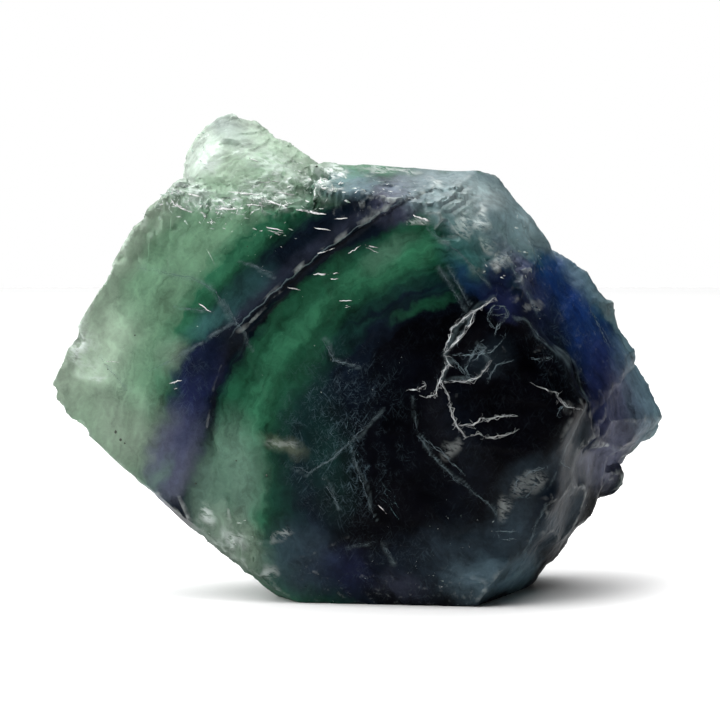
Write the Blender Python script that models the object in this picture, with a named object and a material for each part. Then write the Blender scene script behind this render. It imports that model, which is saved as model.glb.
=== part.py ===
"""A rough piece of fluorite, broken from a larger crystal along its octahedral cleavage.

It is one solid. Convex blocks are cleaved from a cube by flat cuts and joined, a thin sheet is split off the
broad face, and the back and the edges are broken by octahedra that all lie the same way, as the cleavage of
a single crystal does. It stands on a flat break. Lengths in the tables are millimetres. The broad face looks
along -Y, and +Z is up.
"""

import math
import random

import bmesh
import bpy
from mathutils import Matrix, Vector

MM = 0.001
ROUGH_CUBE = 160.0
PART_NAME = "fluorite_crystal"

# The lattice: one octahedral face looks along -Y, and its level edge dips this far to the right.
TRACE_DIP_DEG = -6.0
OCTAHEDRON_INRADIUS = 1 / math.sqrt(3)
# The other octahedral faces stand this far off square to the broad face.
CLEAVAGE_LEAN_DEG = 90.0 - math.degrees(math.acos(1 / 3))

# A block's outline runs clockwise as seen from the front. Each row is a corner (x, z), and then for the
# side from that corner to the next: the depth y of its ridge, and how far its front and back faces lean.
MAIN_OUTLINE = [
    (-36.4, 22.7, -2.5, 18, 34),
    (-36.6, 24.9, -2.8, 14, 30),
    (-34.6, 29.4, -4.0, 8, 26),
    (-27.5, 41.7, -5.0, 8, CLEAVAGE_LEAN_DEG),
    (-24.3, 46.0, -5.0, 10, CLEAVAGE_LEAN_DEG),
    (-18.0, 52.2, -3.0, CLEAVAGE_LEAN_DEG, 16),
    (16.0, 50.3, -1.0, 30, 16),
    (19.6, 46.9, 0.0, 32, 18),
    (22.2, 43.4, 1.0, 32, 20),
    (23.8, 40.5, 3.0, 26, 22),
    (28.8, 31.0, 3.0, 14, 22),
    (31.4, 20.0, 4.0, 23, 24),
    (30.0, 11.2, 4.0, 23, 22),
    (28.4, 7.2, 4.0, 23, CLEAVAGE_LEAN_DEG),
    (26.9, 5.2, 3.0, 15, 18),
    (21.8, 0.0, 0.0, 10, 12),
    (20.2, -2.0, 0.0, 0, 0),
    (-6.4, -2.0, -6.0, 16, 20),
    (-9.4, 0.0, -6.0, 16, 26),
    (-12.8, 1.9, -5.0, 16, 30),
    (-16.4, 4.6, -4.5, 16, 34),
    (-19.9, 7.8, -3.5, 16, 36),
    (-32.9, 19.0, -3.0, 16, 36),
]
# The broad faces: a point on each, and the way that it looks.
MAIN_FACES = [
    ((-10.0, -10.4, 28.0), (-0.26, -1.0, 0.03)),
    ((6.0, -14.0, 27.0), (-0.10, -1.0, 0.0)),
    ((14.0, -14.2, 26.0), (0.06, -1.0, 0.0)),
    ((0.0, -12.8, 5.5), (-0.13, -1.0, -0.24)),
    ((15.0, -14.1, 38.5), (0.42, -1.0, 0.30)),
    ((-12.0, 8.6, 26.0), (-0.26, 1.0, 0.05)),
    ((10.0, 12.6, 24.0), (0.06, 1.0, -0.02)),
    ((6.0, 11.6, 42.0), (0.03, 1.0, 0.42)),
    ((8.0, 11.4, 7.0), (0.0, 1.0, -0.36)),
]

PEAK_OUTLINE = [
    (-21.6, 43.0, 1.0, 12, 16),
    (-20.9, 50.4, 2.0, 16, 18),
    (-20.5, 52.0, 2.0, 22, 20),
    (-19.2, 54.2, 2.0, 26, 22),
    (-17.9, 55.6, 2.0, 30, 24),
    (-16.4, 56.7, 2.0, 32, 26),
    (-14.8, 57.1, 2.0, 34, 26),
    (-12.5, 56.4, 2.0, 24, 20),
    (-4.2, 50.9, 2.0, 20, 18),
    (-3.0, 43.0, 2.0, 0, 0),
]
PEAK_FACES = [
    ((-14.0, -5.2, 50.0), (-0.14, -1.0, 0.40)),
    ((-13.0, 9.0, 53.0), (-0.05, 1.0, 0.30)),
]

SHOULDER_OUTLINE = [
    (18.0, 26.0, 4.0, 0, 0),
    (18.5, 43.0, 4.0, 32, 20),
    (23.2, 41.0, 4.0, 32, 24),
    (27.4, 38.7, 5.0, 34, 28),
    (30.0, 35.8, 6.0, 32, 28),
    (32.0, 32.2, 6.0, 30, 28),
    (34.4, 26.2, 7.0, 26, 26),
    (34.0, 16.0, 7.0, 20, 20),
    (24.0, 11.0, 5.0, 0, 0),
]
SHOULDER_FACES = [
    ((22.0, -11.2, 34.0), (0.72, -1.0, 0.45)),
    ((26.0, -9.4, 26.0), (0.70, -1.0, -0.06)),
    ((24.0, 13.4, 28.0), (0.24, 1.0, 0.10)),
]

KNOB_OUTLINE = [
    (24.0, 27.5, 7.0, 16, 16),
    (34.2, 26.6, 7.0, 28, 26),
    (36.5, 22.7, 7.5, 32, 30),
    (37.7, 19.6, 8.0, 32, 30),
    (36.3, 17.1, 8.0, 28, 28),
    (33.3, 14.6, 8.0, 18, 20),
    (27.0, 10.6, 7.0, 10, 10),
]
KNOB_FACES = [
    ((30.0, -5.6, 22.0), (0.80, -1.0, -0.15)),
    ((32.0, 13.0, 20.0), (0.30, 1.0, 0.0)),
]

BUD_OUTLINE = [
    (26.0, 16.0, 7.0, 10, 10),
    (31.7, 14.6, 7.0, 24, 26),
    (32.9, 13.1, 7.0, 34, 34),
    (32.6, 11.7, 7.0, 34, 34),
    (31.5, 10.8, 7.0, 26, 26),
    (27.0, 9.6, 7.0, 20, 20),
]
BUD_FACES = [
    ((30.0, 0.6, 12.0), (0.30, -1.0, -0.20)),
    ((30.0, 11.6, 12.0), (0.20, 1.0, -0.10)),
]

# The raised plate right of the middle of the broad face.
PLATE_OUTLINE = [
    (6.4, 25.6, -12.6, 44, 0),
    (8.5, 30.0, -12.6, 44, 0),
    (13.1, 34.2, -12.6, 44, 0),
    (17.0, 35.7, -12.0, 44, 0),
    (19.8, 33.4, -12.0, 38, 0),
    (25.0, 28.6, -11.0, 30, 0),
    (26.8, 23.6, -11.0, 26, 0),
    (26.4, 21.4, -11.0, 26, 0),
    (21.8, 12.6, -12.0, 36, 0),
    (17.2, 10.0, -12.6, 44, 0),
    (7.8, 18.6, -12.6, 44, 0),
]
PLATE_FACES = [
    ((16.0, -15.3, 22.0), (0.07, -1.0, -0.03)),
    ((16.0, -6.0, 22.0), (0.0, 1.0, 0.0)),
]

# The ledge broken out below the peak. Only the slope of its floor and its right wall meet the stone.
LEDGE_OUTLINE = [
    (-26.0, 41.0, 0.0, 0, 0),
    (-26.0, 70.0, 0.0, 0, 0),
    (4.0, 70.0, -30.0, 0, 10),
    (-3.4, 38.7, -30.0, 0, CLEAVAGE_LEAN_DEG),
]
LEDGE_FACES = []

# The thin sheet split off below the seam. It is deepest along the seam, at the upper left, where its wall
# slopes, and it runs out to nothing across the face.
SHEET_OUTLINE = [
    (-17.6, 20.5, -8.5, -45, 45),
    (-16.6, 25.6, -8.5, -45, 45),
    (-14.2, 31.6, -9.2, -45, 45),
    (-10.7, 35.1, -10.0, -45, 45),
    (-6.3, 39.2, -11.0, -45, 45),
    (-0.6, 43.5, -12.4, -45, 45),
    (9.4, 48.0, 0.0, 0, 0),
    (24.0, 40.0, 0.0, 0, 0),
    (10.0, 2.0, 0.0, 0, 0),
    (-14.0, 8.0, 0.0, 0, 0),
]
SHEET_FACES = [((-6.3, -10.0, 39.2), (0.288, 1.0, -0.058))]

# Cleavage steps: the middle of each octahedron that breaks one out, and its radius.
STEPS = [
    ((-24.0, 21.0, 44.0), 26.0),
    ((22.0, 27.6, 46.0), 27.0),
    ((31.0, 28.0, 6.0), 26.0),
    ((-20.0, 22.8, 6.0), 27.0),
    ((2.0, 24.6, 27.0), 21.0),
    ((-35.0, 14.0, 33.0), 20.0),
    ((14.0, 20.6, 60.0), 24.0),
    ((41.0, 20.0, 33.0), 14.0),
    ((33.0, -14.0, 34.0), 12.0),
]

CHIP_SEED = 111
CHIP_COUNT = 90
CHIP_SIZE = (1.2, 4.0)
CHIP_BITE = (0.15, 0.65)
CHIP_SPACING = 3.0
CHIP_TRIES = 60
SHARP_EDGE_DEG = 20.0
BASE_CLEARANCE = 1.2
WELD = 0.02


def clear_scene():
    for obj in list(bpy.data.objects):
        bpy.data.objects.remove(obj, do_unlink=True)


def new_collection(name):
    made = bpy.data.collections.new(name)
    bpy.context.scene.collection.children.link(made)
    return made


def new_object(name, mesh, collection):
    """Puts a finished bmesh in a new object."""
    data = bpy.data.meshes.new(name)
    mesh.to_mesh(data)
    mesh.free()
    made = bpy.data.objects.new(name, data)
    collection.objects.link(made)
    return made


def cleave(mesh, point, normal):
    """Cuts away what lies past a plane, and closes the cut."""
    geometry = mesh.verts[:] + mesh.edges[:] + mesh.faces[:]
    cut = bmesh.ops.bisect_plane(
        mesh, geom=geometry, dist=1e-7, plane_co=point, plane_no=normal, clear_outer=True
    )
    rim = [item for item in cut["geom_cut"] if isinstance(item, bmesh.types.BMEdge)]
    if rim:
        bmesh.ops.holes_fill(mesh, edges=rim, sides=0)


def side_planes(outline):
    """The front and back plane of each side of an outline: a point and an outward normal."""
    corners = [Vector((row[0], 0, row[1])) for row in outline]
    for i, (_, _, ridge, front_lean, back_lean) in enumerate(outline):
        along = (corners[(i + 1) % len(corners)] - corners[i]).normalized()
        outward = Vector((-along.z, 0, along.x))
        point = corners[i] + Vector((0, ridge, 0))
        for lean, depth_way in ((front_lean, -1), (back_lean, 1)):
            angle = math.radians(lean)
            yield point, outward * math.cos(angle) + Vector((0, depth_way, 0)) * math.sin(angle)


def block(name, outline, faces, collection):
    """A convex block cleaved from a cube along its outline's sides and its broad faces."""
    mesh = bmesh.new()
    bmesh.ops.create_cube(mesh, size=ROUGH_CUBE * MM)
    for point, normal in list(side_planes(outline)) + [(Vector(p), Vector(n)) for p, n in faces]:
        cleave(mesh, point * MM, normal)
    bmesh.ops.recalc_face_normals(mesh, faces=mesh.faces)
    return new_object(name, mesh, collection)


def lattice_turn():
    """Turns an octahedron whose corners lie on the axes so that one of its faces looks along -Y."""
    face = Vector((1, 1, 1)).normalized()
    to_front = face.rotation_difference(Vector((0, -1, 0))).to_matrix()
    edge = to_front @ Vector((1, -1, 0)).normalized()
    spin = math.atan2(edge.z, edge.x) - math.radians(TRACE_DIP_DEG)
    return (Matrix.Rotation(spin, 3, "Y") @ to_front).to_4x4()


def octahedron(name, centre, radius, turn, collection):
    """A sphere of four segments and two rings is an octahedron. It is turned here to the lattice."""
    mesh = bmesh.new()
    bmesh.ops.create_uvsphere(mesh, u_segments=4, v_segments=2, radius=radius * MM)
    mesh.transform(Matrix.Translation(centre) @ turn)
    return new_object(name, mesh, collection)


def combine(body, other, operation):
    """Joins another solid to the body, or cuts it away, and keeps the result as the body's own mesh."""
    other.hide_render = True
    other.display_type = "WIRE"
    modifier = body.modifiers.new("combine", "BOOLEAN")
    modifier.operation = operation
    modifier.object = other
    bpy.context.view_layer.update()
    graph = bpy.context.evaluated_depsgraph_get()
    result = bpy.data.meshes.new_from_object(body.evaluated_get(graph))
    body.modifiers.remove(modifier)
    body.data = result


def chip_places(body, picker):
    """Points spread along the sharp outer edges, with the way that points out of the stone there."""
    mesh = bmesh.new()
    mesh.from_mesh(body.data)
    sharp = [
        edge
        for edge in mesh.edges
        if len(edge.link_faces) == 2
        and edge.is_convex
        and edge.calc_face_angle() > math.radians(SHARP_EDGE_DEG)
        and min(v.co.z for v in edge.verts) > BASE_CLEARANCE * MM
    ]
    lengths = [edge.calc_length() for edge in sharp]
    places = []
    for edge in picker.choices(sharp, weights=lengths, k=CHIP_COUNT * CHIP_TRIES):
        place = edge.verts[0].co.lerp(edge.verts[1].co, picker.random())
        crowded = any((place - other).length < CHIP_SPACING * MM for other, _ in places)
        if not crowded and len(places) < CHIP_COUNT:
            outward = (edge.link_faces[0].normal + edge.link_faces[1].normal).normalized()
            places.append((place.copy(), outward))
    mesh.free()
    return places


def finish_mesh(body):
    """Stands the solid on its flat base, with the origin under the middle of its box."""
    mesh = bmesh.new()
    mesh.from_mesh(body.data)
    cleave(mesh, Vector((0, 0, 0)), Vector((0, 0, -1)))
    bmesh.ops.triangulate(mesh, faces=mesh.faces)
    bmesh.ops.remove_doubles(mesh, verts=mesh.verts, dist=WELD * MM)
    bmesh.ops.dissolve_degenerate(mesh, edges=mesh.edges, dist=WELD * MM)
    bmesh.ops.triangulate(mesh, faces=mesh.faces)
    low = [min(v.co[i] for v in mesh.verts) for i in range(3)]
    high = [max(v.co[i] for v in mesh.verts) for i in range(3)]
    middle = Vector(((low[0] + high[0]) / 2, (low[1] + high[1]) / 2, low[2]))
    bmesh.ops.translate(mesh, verts=mesh.verts, vec=-middle)
    bmesh.ops.recalc_face_normals(mesh, faces=mesh.faces)
    mesh.to_mesh(body.data)
    mesh.free()


def fluorite_material():
    """Banded green and violet crystal, clear enough to see into."""
    made = bpy.data.materials.new("fluorite")
    made.use_nodes = True
    shader = made.node_tree.nodes["Principled BSDF"]
    shader.inputs["Base Color"].default_value = (0.05, 0.14, 0.12, 1.0)
    shader.inputs["Roughness"].default_value = 0.3
    shader.inputs["Metallic"].default_value = 0.0
    shader.inputs["IOR"].default_value = 1.434
    shader.inputs["Transmission Weight"].default_value = 0.8
    return made


def build():
    clear_scene()
    part = new_collection(PART_NAME)
    helpers = new_collection("cutters")
    body = block(PART_NAME, MAIN_OUTLINE, MAIN_FACES, part)
    combine(body, block("ledge", LEDGE_OUTLINE, LEDGE_FACES, helpers), "DIFFERENCE")
    for name, outline, faces in (
        ("peak", PEAK_OUTLINE, PEAK_FACES),
        ("shoulder", SHOULDER_OUTLINE, SHOULDER_FACES),
        ("knob", KNOB_OUTLINE, KNOB_FACES),
        ("bud", BUD_OUTLINE, BUD_FACES),
    ):
        combine(body, block(name, outline, faces, helpers), "UNION")
    turn = lattice_turn()
    for index, (centre, radius) in enumerate(STEPS):
        combine(body, octahedron(f"step_{index}", Vector(centre) * MM, radius, turn, helpers), "DIFFERENCE")
    picker = random.Random(CHIP_SEED)
    for index, (place, outward) in enumerate(chip_places(body, picker)):
        radius = picker.uniform(*CHIP_SIZE)
        reach = radius * OCTAHEDRON_INRADIUS - picker.uniform(*CHIP_BITE)
        centre = place + outward * reach * MM
        combine(body, octahedron(f"chip_{index}", centre, radius, turn, helpers), "DIFFERENCE")
    combine(body, block("sheet", SHEET_OUTLINE, SHEET_FACES, helpers), "DIFFERENCE")
    combine(body, block("plate", PLATE_OUTLINE, PLATE_FACES, helpers), "UNION")
    finish_mesh(body)
    body.data.materials.clear()
    body.data.materials.append(fluorite_material())


build()
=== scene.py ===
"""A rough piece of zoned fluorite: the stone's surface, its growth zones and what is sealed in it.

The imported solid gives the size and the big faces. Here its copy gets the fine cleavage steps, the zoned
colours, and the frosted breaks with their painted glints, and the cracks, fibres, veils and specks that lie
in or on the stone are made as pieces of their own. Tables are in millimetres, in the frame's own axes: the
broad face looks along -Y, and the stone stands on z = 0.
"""

import math
import random
from functools import partial

import bmesh
import bpy
import numpy as np
from bpy.props import FloatProperty, FloatVectorProperty, PointerProperty
from bpy.types import Operator, Panel, PropertyGroup
from mathutils import Matrix, Vector
from mathutils.bvhtree import BVHTree


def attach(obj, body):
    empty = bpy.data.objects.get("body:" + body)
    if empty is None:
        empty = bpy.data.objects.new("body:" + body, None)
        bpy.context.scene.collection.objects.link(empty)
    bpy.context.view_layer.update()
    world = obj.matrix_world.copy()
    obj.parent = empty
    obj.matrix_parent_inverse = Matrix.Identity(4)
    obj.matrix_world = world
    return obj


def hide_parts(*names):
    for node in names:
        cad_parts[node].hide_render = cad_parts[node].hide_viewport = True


bl_info = {
    "name": "Zoned fluorite",
    "version": (1, 0, 0),
    "blender": (4, 5, 0),
    "location": "3D View > Sidebar > Fluorite",
    "description": "Builds a rough zoned fluorite crystal around its packed solid",
    "category": "Add Mesh",
}

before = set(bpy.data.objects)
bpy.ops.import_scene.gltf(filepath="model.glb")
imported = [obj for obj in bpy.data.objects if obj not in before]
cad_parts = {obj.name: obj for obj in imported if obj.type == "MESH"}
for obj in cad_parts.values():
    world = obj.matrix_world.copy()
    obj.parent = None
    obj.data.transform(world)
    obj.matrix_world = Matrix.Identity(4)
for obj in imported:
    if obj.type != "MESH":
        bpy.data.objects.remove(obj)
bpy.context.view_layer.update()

MM = 0.001
NODE = "fluorite_crystal"
BODY = "root"

FLUORITE_IOR = 1.434
# Points nearer to each other than this, in metres, are one point.
MERGE = 1e-6
# The lattice: one octahedral face looks along -Y, and its level edge dips to the right by this much.
TRACE_DIP_DEG = -6.0
# The place on the broad face that the growth zones curve round, and the depth of that face.
ZONE_CENTRE = (14.9, 16.2)
FACE_DEPTH = -14.0
# Zones and clouds of colour run straight through the stone: their half size along Y, in mm.
THROUGH = 1000.0


# ---------------------------------------------------------------- small helpers

def linear(colour):
    """An sRGB hex value as a linear RGBA tuple."""
    parts = [int(colour[i:i + 2], 16) / 255 for i in (0, 2, 4)]
    return (*[p / 12.92 if p <= 0.04045 else ((p + 0.055) / 1.055) ** 2.4 for p in parts], 1.0)


def feed(tree, node, inputs):
    """Links or sets a node's inputs, given by name or number, or as a plain row."""
    for key, value in inputs.items() if isinstance(inputs, dict) else enumerate(inputs):
        if isinstance(value, bpy.types.NodeSocket):
            tree.links.new(value, node.inputs[key])
        else:
            node.inputs[key].default_value = value


def add_node(tree, kind, inputs=(), out=0, **settings):
    """Adds a shader node, sets its properties and its inputs, and gives one output socket."""
    made = tree.nodes.new("ShaderNode" + kind)
    for name, value in settings.items():
        setattr(made, name, value)
    feed(tree, made, inputs)
    return made.outputs[out] if made.outputs else made


def plain_material(name, colour, roughness):
    """One even colour and finish."""
    material = bpy.data.materials.new(name)
    material.use_nodes = True
    shader = material.node_tree.nodes["Principled BSDF"]
    feed(material.node_tree, shader, {"Base Color": linear(colour), "Roughness": roughness})
    return material


def new_material(name):
    """A fluorite material: itself, what sets its shader, an add-node helper, and places in millimetres."""
    material = plain_material(name, WHITE, 0.5)
    tree = material.node_tree
    dress = partial(feed, tree, tree.nodes["Principled BSDF"])
    dress({"IOR": FLUORITE_IOR})
    node = partial(add_node, tree)
    mm = node("VectorMath", {0: node("TexCoord", out="Object"), "Scale": 1 / MM}, operation="SCALE")
    return material, dress, node, mm


def only(piece):
    """Makes the piece the one selected and active object."""
    bpy.ops.object.select_all(action="DESELECT")
    piece.select_set(True)
    bpy.context.view_layer.objects.active = piece


def apply_all(piece):
    """Applies the piece's modifiers, top to bottom."""
    only(piece)
    for name in [m.name for m in piece.modifiers]:
        bpy.ops.object.modifier_apply(modifier=name)


def edit_all(piece, merge=False, outward=False):
    """In edit mode: merges the piece's double points, and turns its faces out."""
    only(piece)
    bpy.ops.object.mode_set(mode="EDIT")
    bpy.ops.mesh.select_all(action="SELECT")
    if merge:
        bpy.ops.mesh.remove_doubles(threshold=MERGE)
    if outward:
        bpy.ops.mesh.normals_make_consistent(inside=False)
    bpy.ops.object.mode_set(mode="OBJECT")


def joined(pieces):
    """Joins the pieces into one."""
    only(pieces[0])
    for piece in pieces:
        piece.select_set(True)
    bpy.ops.object.join()
    return bpy.context.object


def hand_over(piece, name, material):
    """The piece gets its name and its one material, and rides on the stone's body."""
    piece.name = name
    piece.data.materials.clear()
    piece.data.materials.append(material)
    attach(piece, BODY)


def lattice_normals():
    """The four octahedral directions: the broad face's, then the three that cut it."""
    normals = [(0.0, -1.0, 0.0)]
    for turn in (90.0, -30.0, 210.0):
        angle = math.radians(turn + TRACE_DIP_DEG)
        tilt = math.sqrt(8) / 3
        normals.append((tilt * math.cos(angle), -1 / 3, tilt * math.sin(angle)))
    return np.array(normals)


# ---------------------------------------------------------------- numbers over many points

def cell_value(cells, seed):
    """A fixed random number from 0 to 1 for each row of whole numbers."""
    primes = np.array([374761393, 668265263, 2246822519, 3266489917], np.int64)[:cells.shape[1]]
    mixed = (cells.astype(np.int64) * primes).sum(axis=1) + seed * 974634777
    mixed = (mixed ^ (mixed >> 13)) * 1274126177
    mixed = mixed ^ (mixed >> 16)
    return (mixed & 0xFFFFFF) / float(0x1000000)


def soft_noise(points, size, seed):
    """Smooth noise from -1 to 1 with features of about that size."""
    scaled = points / size
    base = np.floor(scaled)
    part = scaled - base
    part = part * part * (3 - 2 * part)
    total = np.zeros(len(points))
    for corner in np.ndindex(2, 2, 2):
        weight = np.prod(np.where(corner, part, 1 - part), axis=1)
        total += weight * cell_value(base + corner, seed)
    return total * 2 - 1


def smooth_step(value, low, high):
    """0 at low, 1 at high, and smooth between."""
    t = np.clip((value - low) / (high - low), 0, 1)
    return t * t * (3 - 2 * t)


def patch(points, centre, radii):
    """1 in the middle of an ellipsoid and 0 past its skin."""
    distance = np.linalg.norm((points - centre) / radii, axis=1)
    return 1 - smooth_step(distance, 0.6, 1.1)


# ---------------------------------------------------------------- settings

# The mineral's colours: name, sRGB value, and what it is for.
PALETTE = [
    # ink also paints the shadow in the seam's groove.
    ("ink", "020205", "The black core"),
    ("night", "060f1a", "The blue-black zone along the seam"),
    ("navy", "10295a", "Dark blue clouds"),
    ("indigo", "181f40", "Blue-violet clouds"),
    ("violet", "4d5168", "Grey-violet clouds"),
    ("deep_green", "0a2a24", "Green next to the core"),
    ("forest", "134630", "Dark green zone"),
    ("green", "296b4c", "Bright green zone"),
    ("mint", "678a78", "Pale green foot of the green zone"),
    ("sage", "6f9779", "Green-grey outer zone"),
    ("pale_sage", "abbfaa", "Palest outer zone"),
    ("teal", "31605f", "Blue-green clouds"),
    ("slate", "25333d", "Dark grey-blue foot"),
    ("steel", "64808e", "Grey-blue breaks"),
    # pale_blue also paints the highlight on the seam's lip.
    ("pale_blue", "93aeb4", "Pale grey-blue breaks"),
    ("straw", "95a083", "Yellow-green flaws"),
    # This white is also used for painted glints on the breaks and for painted light on the top of the shoulder.
    ("frost", "e4edea", "Bruised corners and frosted breaks"),
]

# The colours of the small pieces and of the floor.
WHITE = "ffffff"
BRIGHT_CRACK = "f2f6f8"
FAINT_CRACK = "7f939c"
FIBRE_TEAL = "3f5c63"
FLAKE_SHADE = "9fb8aa"
VEIL_WHITE = "e8f0ea"
SPECK_GREY = "3c4238"
BOARD_GREY = "e0e0e0"


class StoneColours(PropertyGroup):
    """The mineral's colours, one property for each row of the palette"""
    __annotations__ = {
        name: FloatVectorProperty(name=name.replace("_", " ").capitalize(), description=use, subtype="COLOR",
                                  size=4, min=0.0, max=1.0, default=linear(value))
        for name, value, use in PALETTE}


class StoneSettings(PropertyGroup):
    grain: FloatProperty(name="Grain", description="Edge length of the mesh on the back; half of it in front",
                         default=0.00054, min=0.0003, unit="LENGTH")
    swell: FloatProperty(name="Swell", description="Height of the soft waves in the breaks",
                         default=0.00022, unit="LENGTH")
    step: FloatProperty(name="Step", description="Height of the cleavage steps where the stone is rough",
                        default=0.0008, unit="LENGTH")
    corner_angle: FloatProperty(name="Corner angle", description="Edges sharper than this stay crisp",
                                default=math.radians(32), subtype="ANGLE")


class StageSettings(PropertyGroup):
    lens: FloatProperty(name="Lens", description="Focal length of the camera, in millimetres", default=133.3)
    distance: FloatProperty(name="Distance", description="From the camera to the point it looks at",
                            default=0.320, unit="LENGTH")
    elevation: FloatProperty(name="Elevation", description="How far the camera looks down",
                             default=math.radians(5), subtype="ANGLE")
    target: FloatVectorProperty(name="Target", description="The point that the camera looks at",
                                default=(-0.0001, 0.0, 0.02784), subtype="TRANSLATION", unit="LENGTH")
    glow: FloatProperty(name="Glow", description="Brightness of the white surroundings", default=1.9)
    window: FloatProperty(name="Window", description="Power of the soft light at the upper left, in watts",
                          default=2.0)
    top_light: FloatProperty(name="Top light", description="Power of the soft light overhead, in watts",
                             default=2.4)
    dusk: FloatProperty(name="Dusk", description="Brightness of the dark side behind the camera",
                        default=0.035)


# ---------------------------------------------------------------- the stone's shape

# Where the breaks are rough: centre, radii, and how strongly the surface is stepped there.
ROUGH_PATCHES = [
    ((-12.0, -7.0, 47.6), (13.0, 9.0, 3.2), 1.0),
    ((4.0, -9.0, 47.5), (12.0, 9.0, 3.0), 0.75),
    ((-13.0, 0.0, 53.0), (9.0, 9.0, 6.0), 0.28),
    ((-22.0, 4.0, 45.0), (8.0, 9.0, 12.0), 0.4),
    ((-25.0, -6.0, 43.0), (5.0, 9.0, 5.0), 0.5),
    ((20.0, -8.0, 41.0), (7.0, 12.0, 7.0), 0.4),
    ((30.0, -2.0, 30.0), (8.0, 14.0, 12.0), 0.2),
    ((34.0, 2.0, 18.0), (7.0, 14.0, 9.0), 0.12),
    ((26.0, -6.0, 8.0), (10.0, 12.0, 9.0), 0.15),
    ((4.0, -10.0, 2.0), (22.0, 9.0, 4.0), 0.3),
    ((-15.0, -6.0, 5.0), (9.0, 8.0, 4.0), 0.4),
]

# Where the break is folded into soft ridges: centre, radii, and the height of the folds.
FOLD_PATCHES = [
    ((31.0, 0.0, 22.0), (9.0, 18.0, 20.0), 0.5),
    ((19.0, -6.0, 41.0), (9.0, 12.0, 8.0), 0.6),
    ((25.0, -8.0, 10.0), (7.0, 12.0, 9.0), 0.45),
    ((-6.0, 13.0, 28.0), (30.0, 9.0, 24.0), 0.35),
    ((-29.0, -2.0, 28.0), (8.0, 12.0, 12.0), 0.2),
]

# The rim of the raised plate on the broad face, clockwise from its left corner.
PLATE_RIM = [(6.0, 25.5), (8.5, 30.0), (13.0, 34.5), (17.0, 35.5), (19.5, 33.5), (25.0, 28.5), (26.5, 23.5),
             (26.0, 21.5), (21.5, 12.5), (17.0, 10.0), (7.5, 18.5)]

# The seam where a thin sheet has split off: it runs down from the top and round to the left.
SEAM = [(8.0, 48.5), (4.5, 47.0), (-1.0, 43.5), (-7.0, 39.0), (-11.0, 35.5), (-15.0, 31.5), (-17.0, 26.0),
        (-18.0, 20.5), (-18.0, 15.0)]
# The seam closes between these heights.
SEAM_END = (30.5, 34.0)
# From the closed end, the upper layer stops in a low cliff that runs on to the left.
CLIFF = [(-14.0, 33.0), (-18.0, 31.0), (-20.5, 29.0), (-24.0, 25.5)]
CLIFF_CENTRE = (-19.4, -14.0, 29.6)
CLIFF_REACH = (6.6, 8.0, 6.0)

# Healed cracks that show as soft pale lines: strength, half width in mm, and places (x, z) along each.
PALE_LINES = [
    (0.4, 0.45, [(-26.0, 39.0), (-20.0, 38.0), (-17.0, 36.5), (-15.0, 33.0)]),
    (0.5, 0.3, [(-14.0, 40.0), (-10.0, 38.5)]),
    (0.5, 0.35, [(-21.5, 34.5), (-17.0, 34.0)]),
    (0.6, 0.35, [(-14.5, 33.0), (-18.0, 31.0), (-20.5, 29.0), (-25.0, 27.0)]),
    (0.5, 0.4, [(-16.0, 35.5), (-14.5, 33.0), (-12.5, 29.5)]),
    (0.4, 0.3, [(-31.0, 28.5), (-27.5, 24.5)]),
    (0.35, 0.35, [(-4.5, 31.0), (-3.0, 28.5), (0.0, 28.0)]),
    (0.3, 0.3, [(-8.5, 16.5), (-6.0, 15.5), (-3.0, 17.5), (-1.5, 19.0), (2.5, 23.0)]),
    (0.3, 0.3, [(-1.5, 19.5), (-0.5, 16.5), (1.5, 10.5)]),
    (0.35, 0.5, [(-4.5, 15.0), (-2.5, 11.5)]),
    (0.35, 0.35, [(9.0, 39.5), (12.0, 34.5)]),
    (0.3, 0.35, [(10.0, 39.5), (12.5, 35.0)]),
    (0.3, 0.4, [(7.5, 44.0), (11.5, 41.0), (15.0, 37.0)]),
    (0.45, 0.45, [(17.0, 46.0), (17.0, 40.0), (19.5, 36.0), (21.0, 33.5)]),
    (0.3, 0.3, [(17.5, 34.0), (19.5, 33.0), (20.5, 31.5), (23.5, 29.0), (25.5, 26.5), (26.5, 23.5),
                (25.0, 20.5), (21.5, 14.0)]),
    (0.3, 0.3, [(6.0, 24.5), (6.5, 20.5), (8.0, 18.0), (11.0, 15.0), (14.5, 12.5), (16.5, 10.0)]),
    (0.25, 0.5, [(27.5, 34.0), (30.0, 29.0)]),
    (0.3, 0.4, [(23.0, 17.0), (26.0, 14.5), (27.5, 14.0)]),
    (0.3, 0.4, [(21.5, 12.0), (20.0, 9.0), (18.5, 2.5)]),
    (0.3, 0.5, [(2.5, 7.5), (4.0, 5.0)]),
    (0.25, 0.4, [(-1.5, 7.0), (1.0, 7.5)]),
    (0.4, 0.4, [(15.5, 36.0), (13.0, 34.5), (10.5, 32.5), (9.5, 29.5), (10.0, 28.5), (9.0, 26.5)]),
    (0.35, 0.35, [(13.0, 34.5), (11.0, 31.0), (9.5, 29.5)]),
    (0.3, 0.35, [(9.5, 26.5), (13.5, 27.0), (15.0, 29.0), (13.0, 30.5)]),
]
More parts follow.
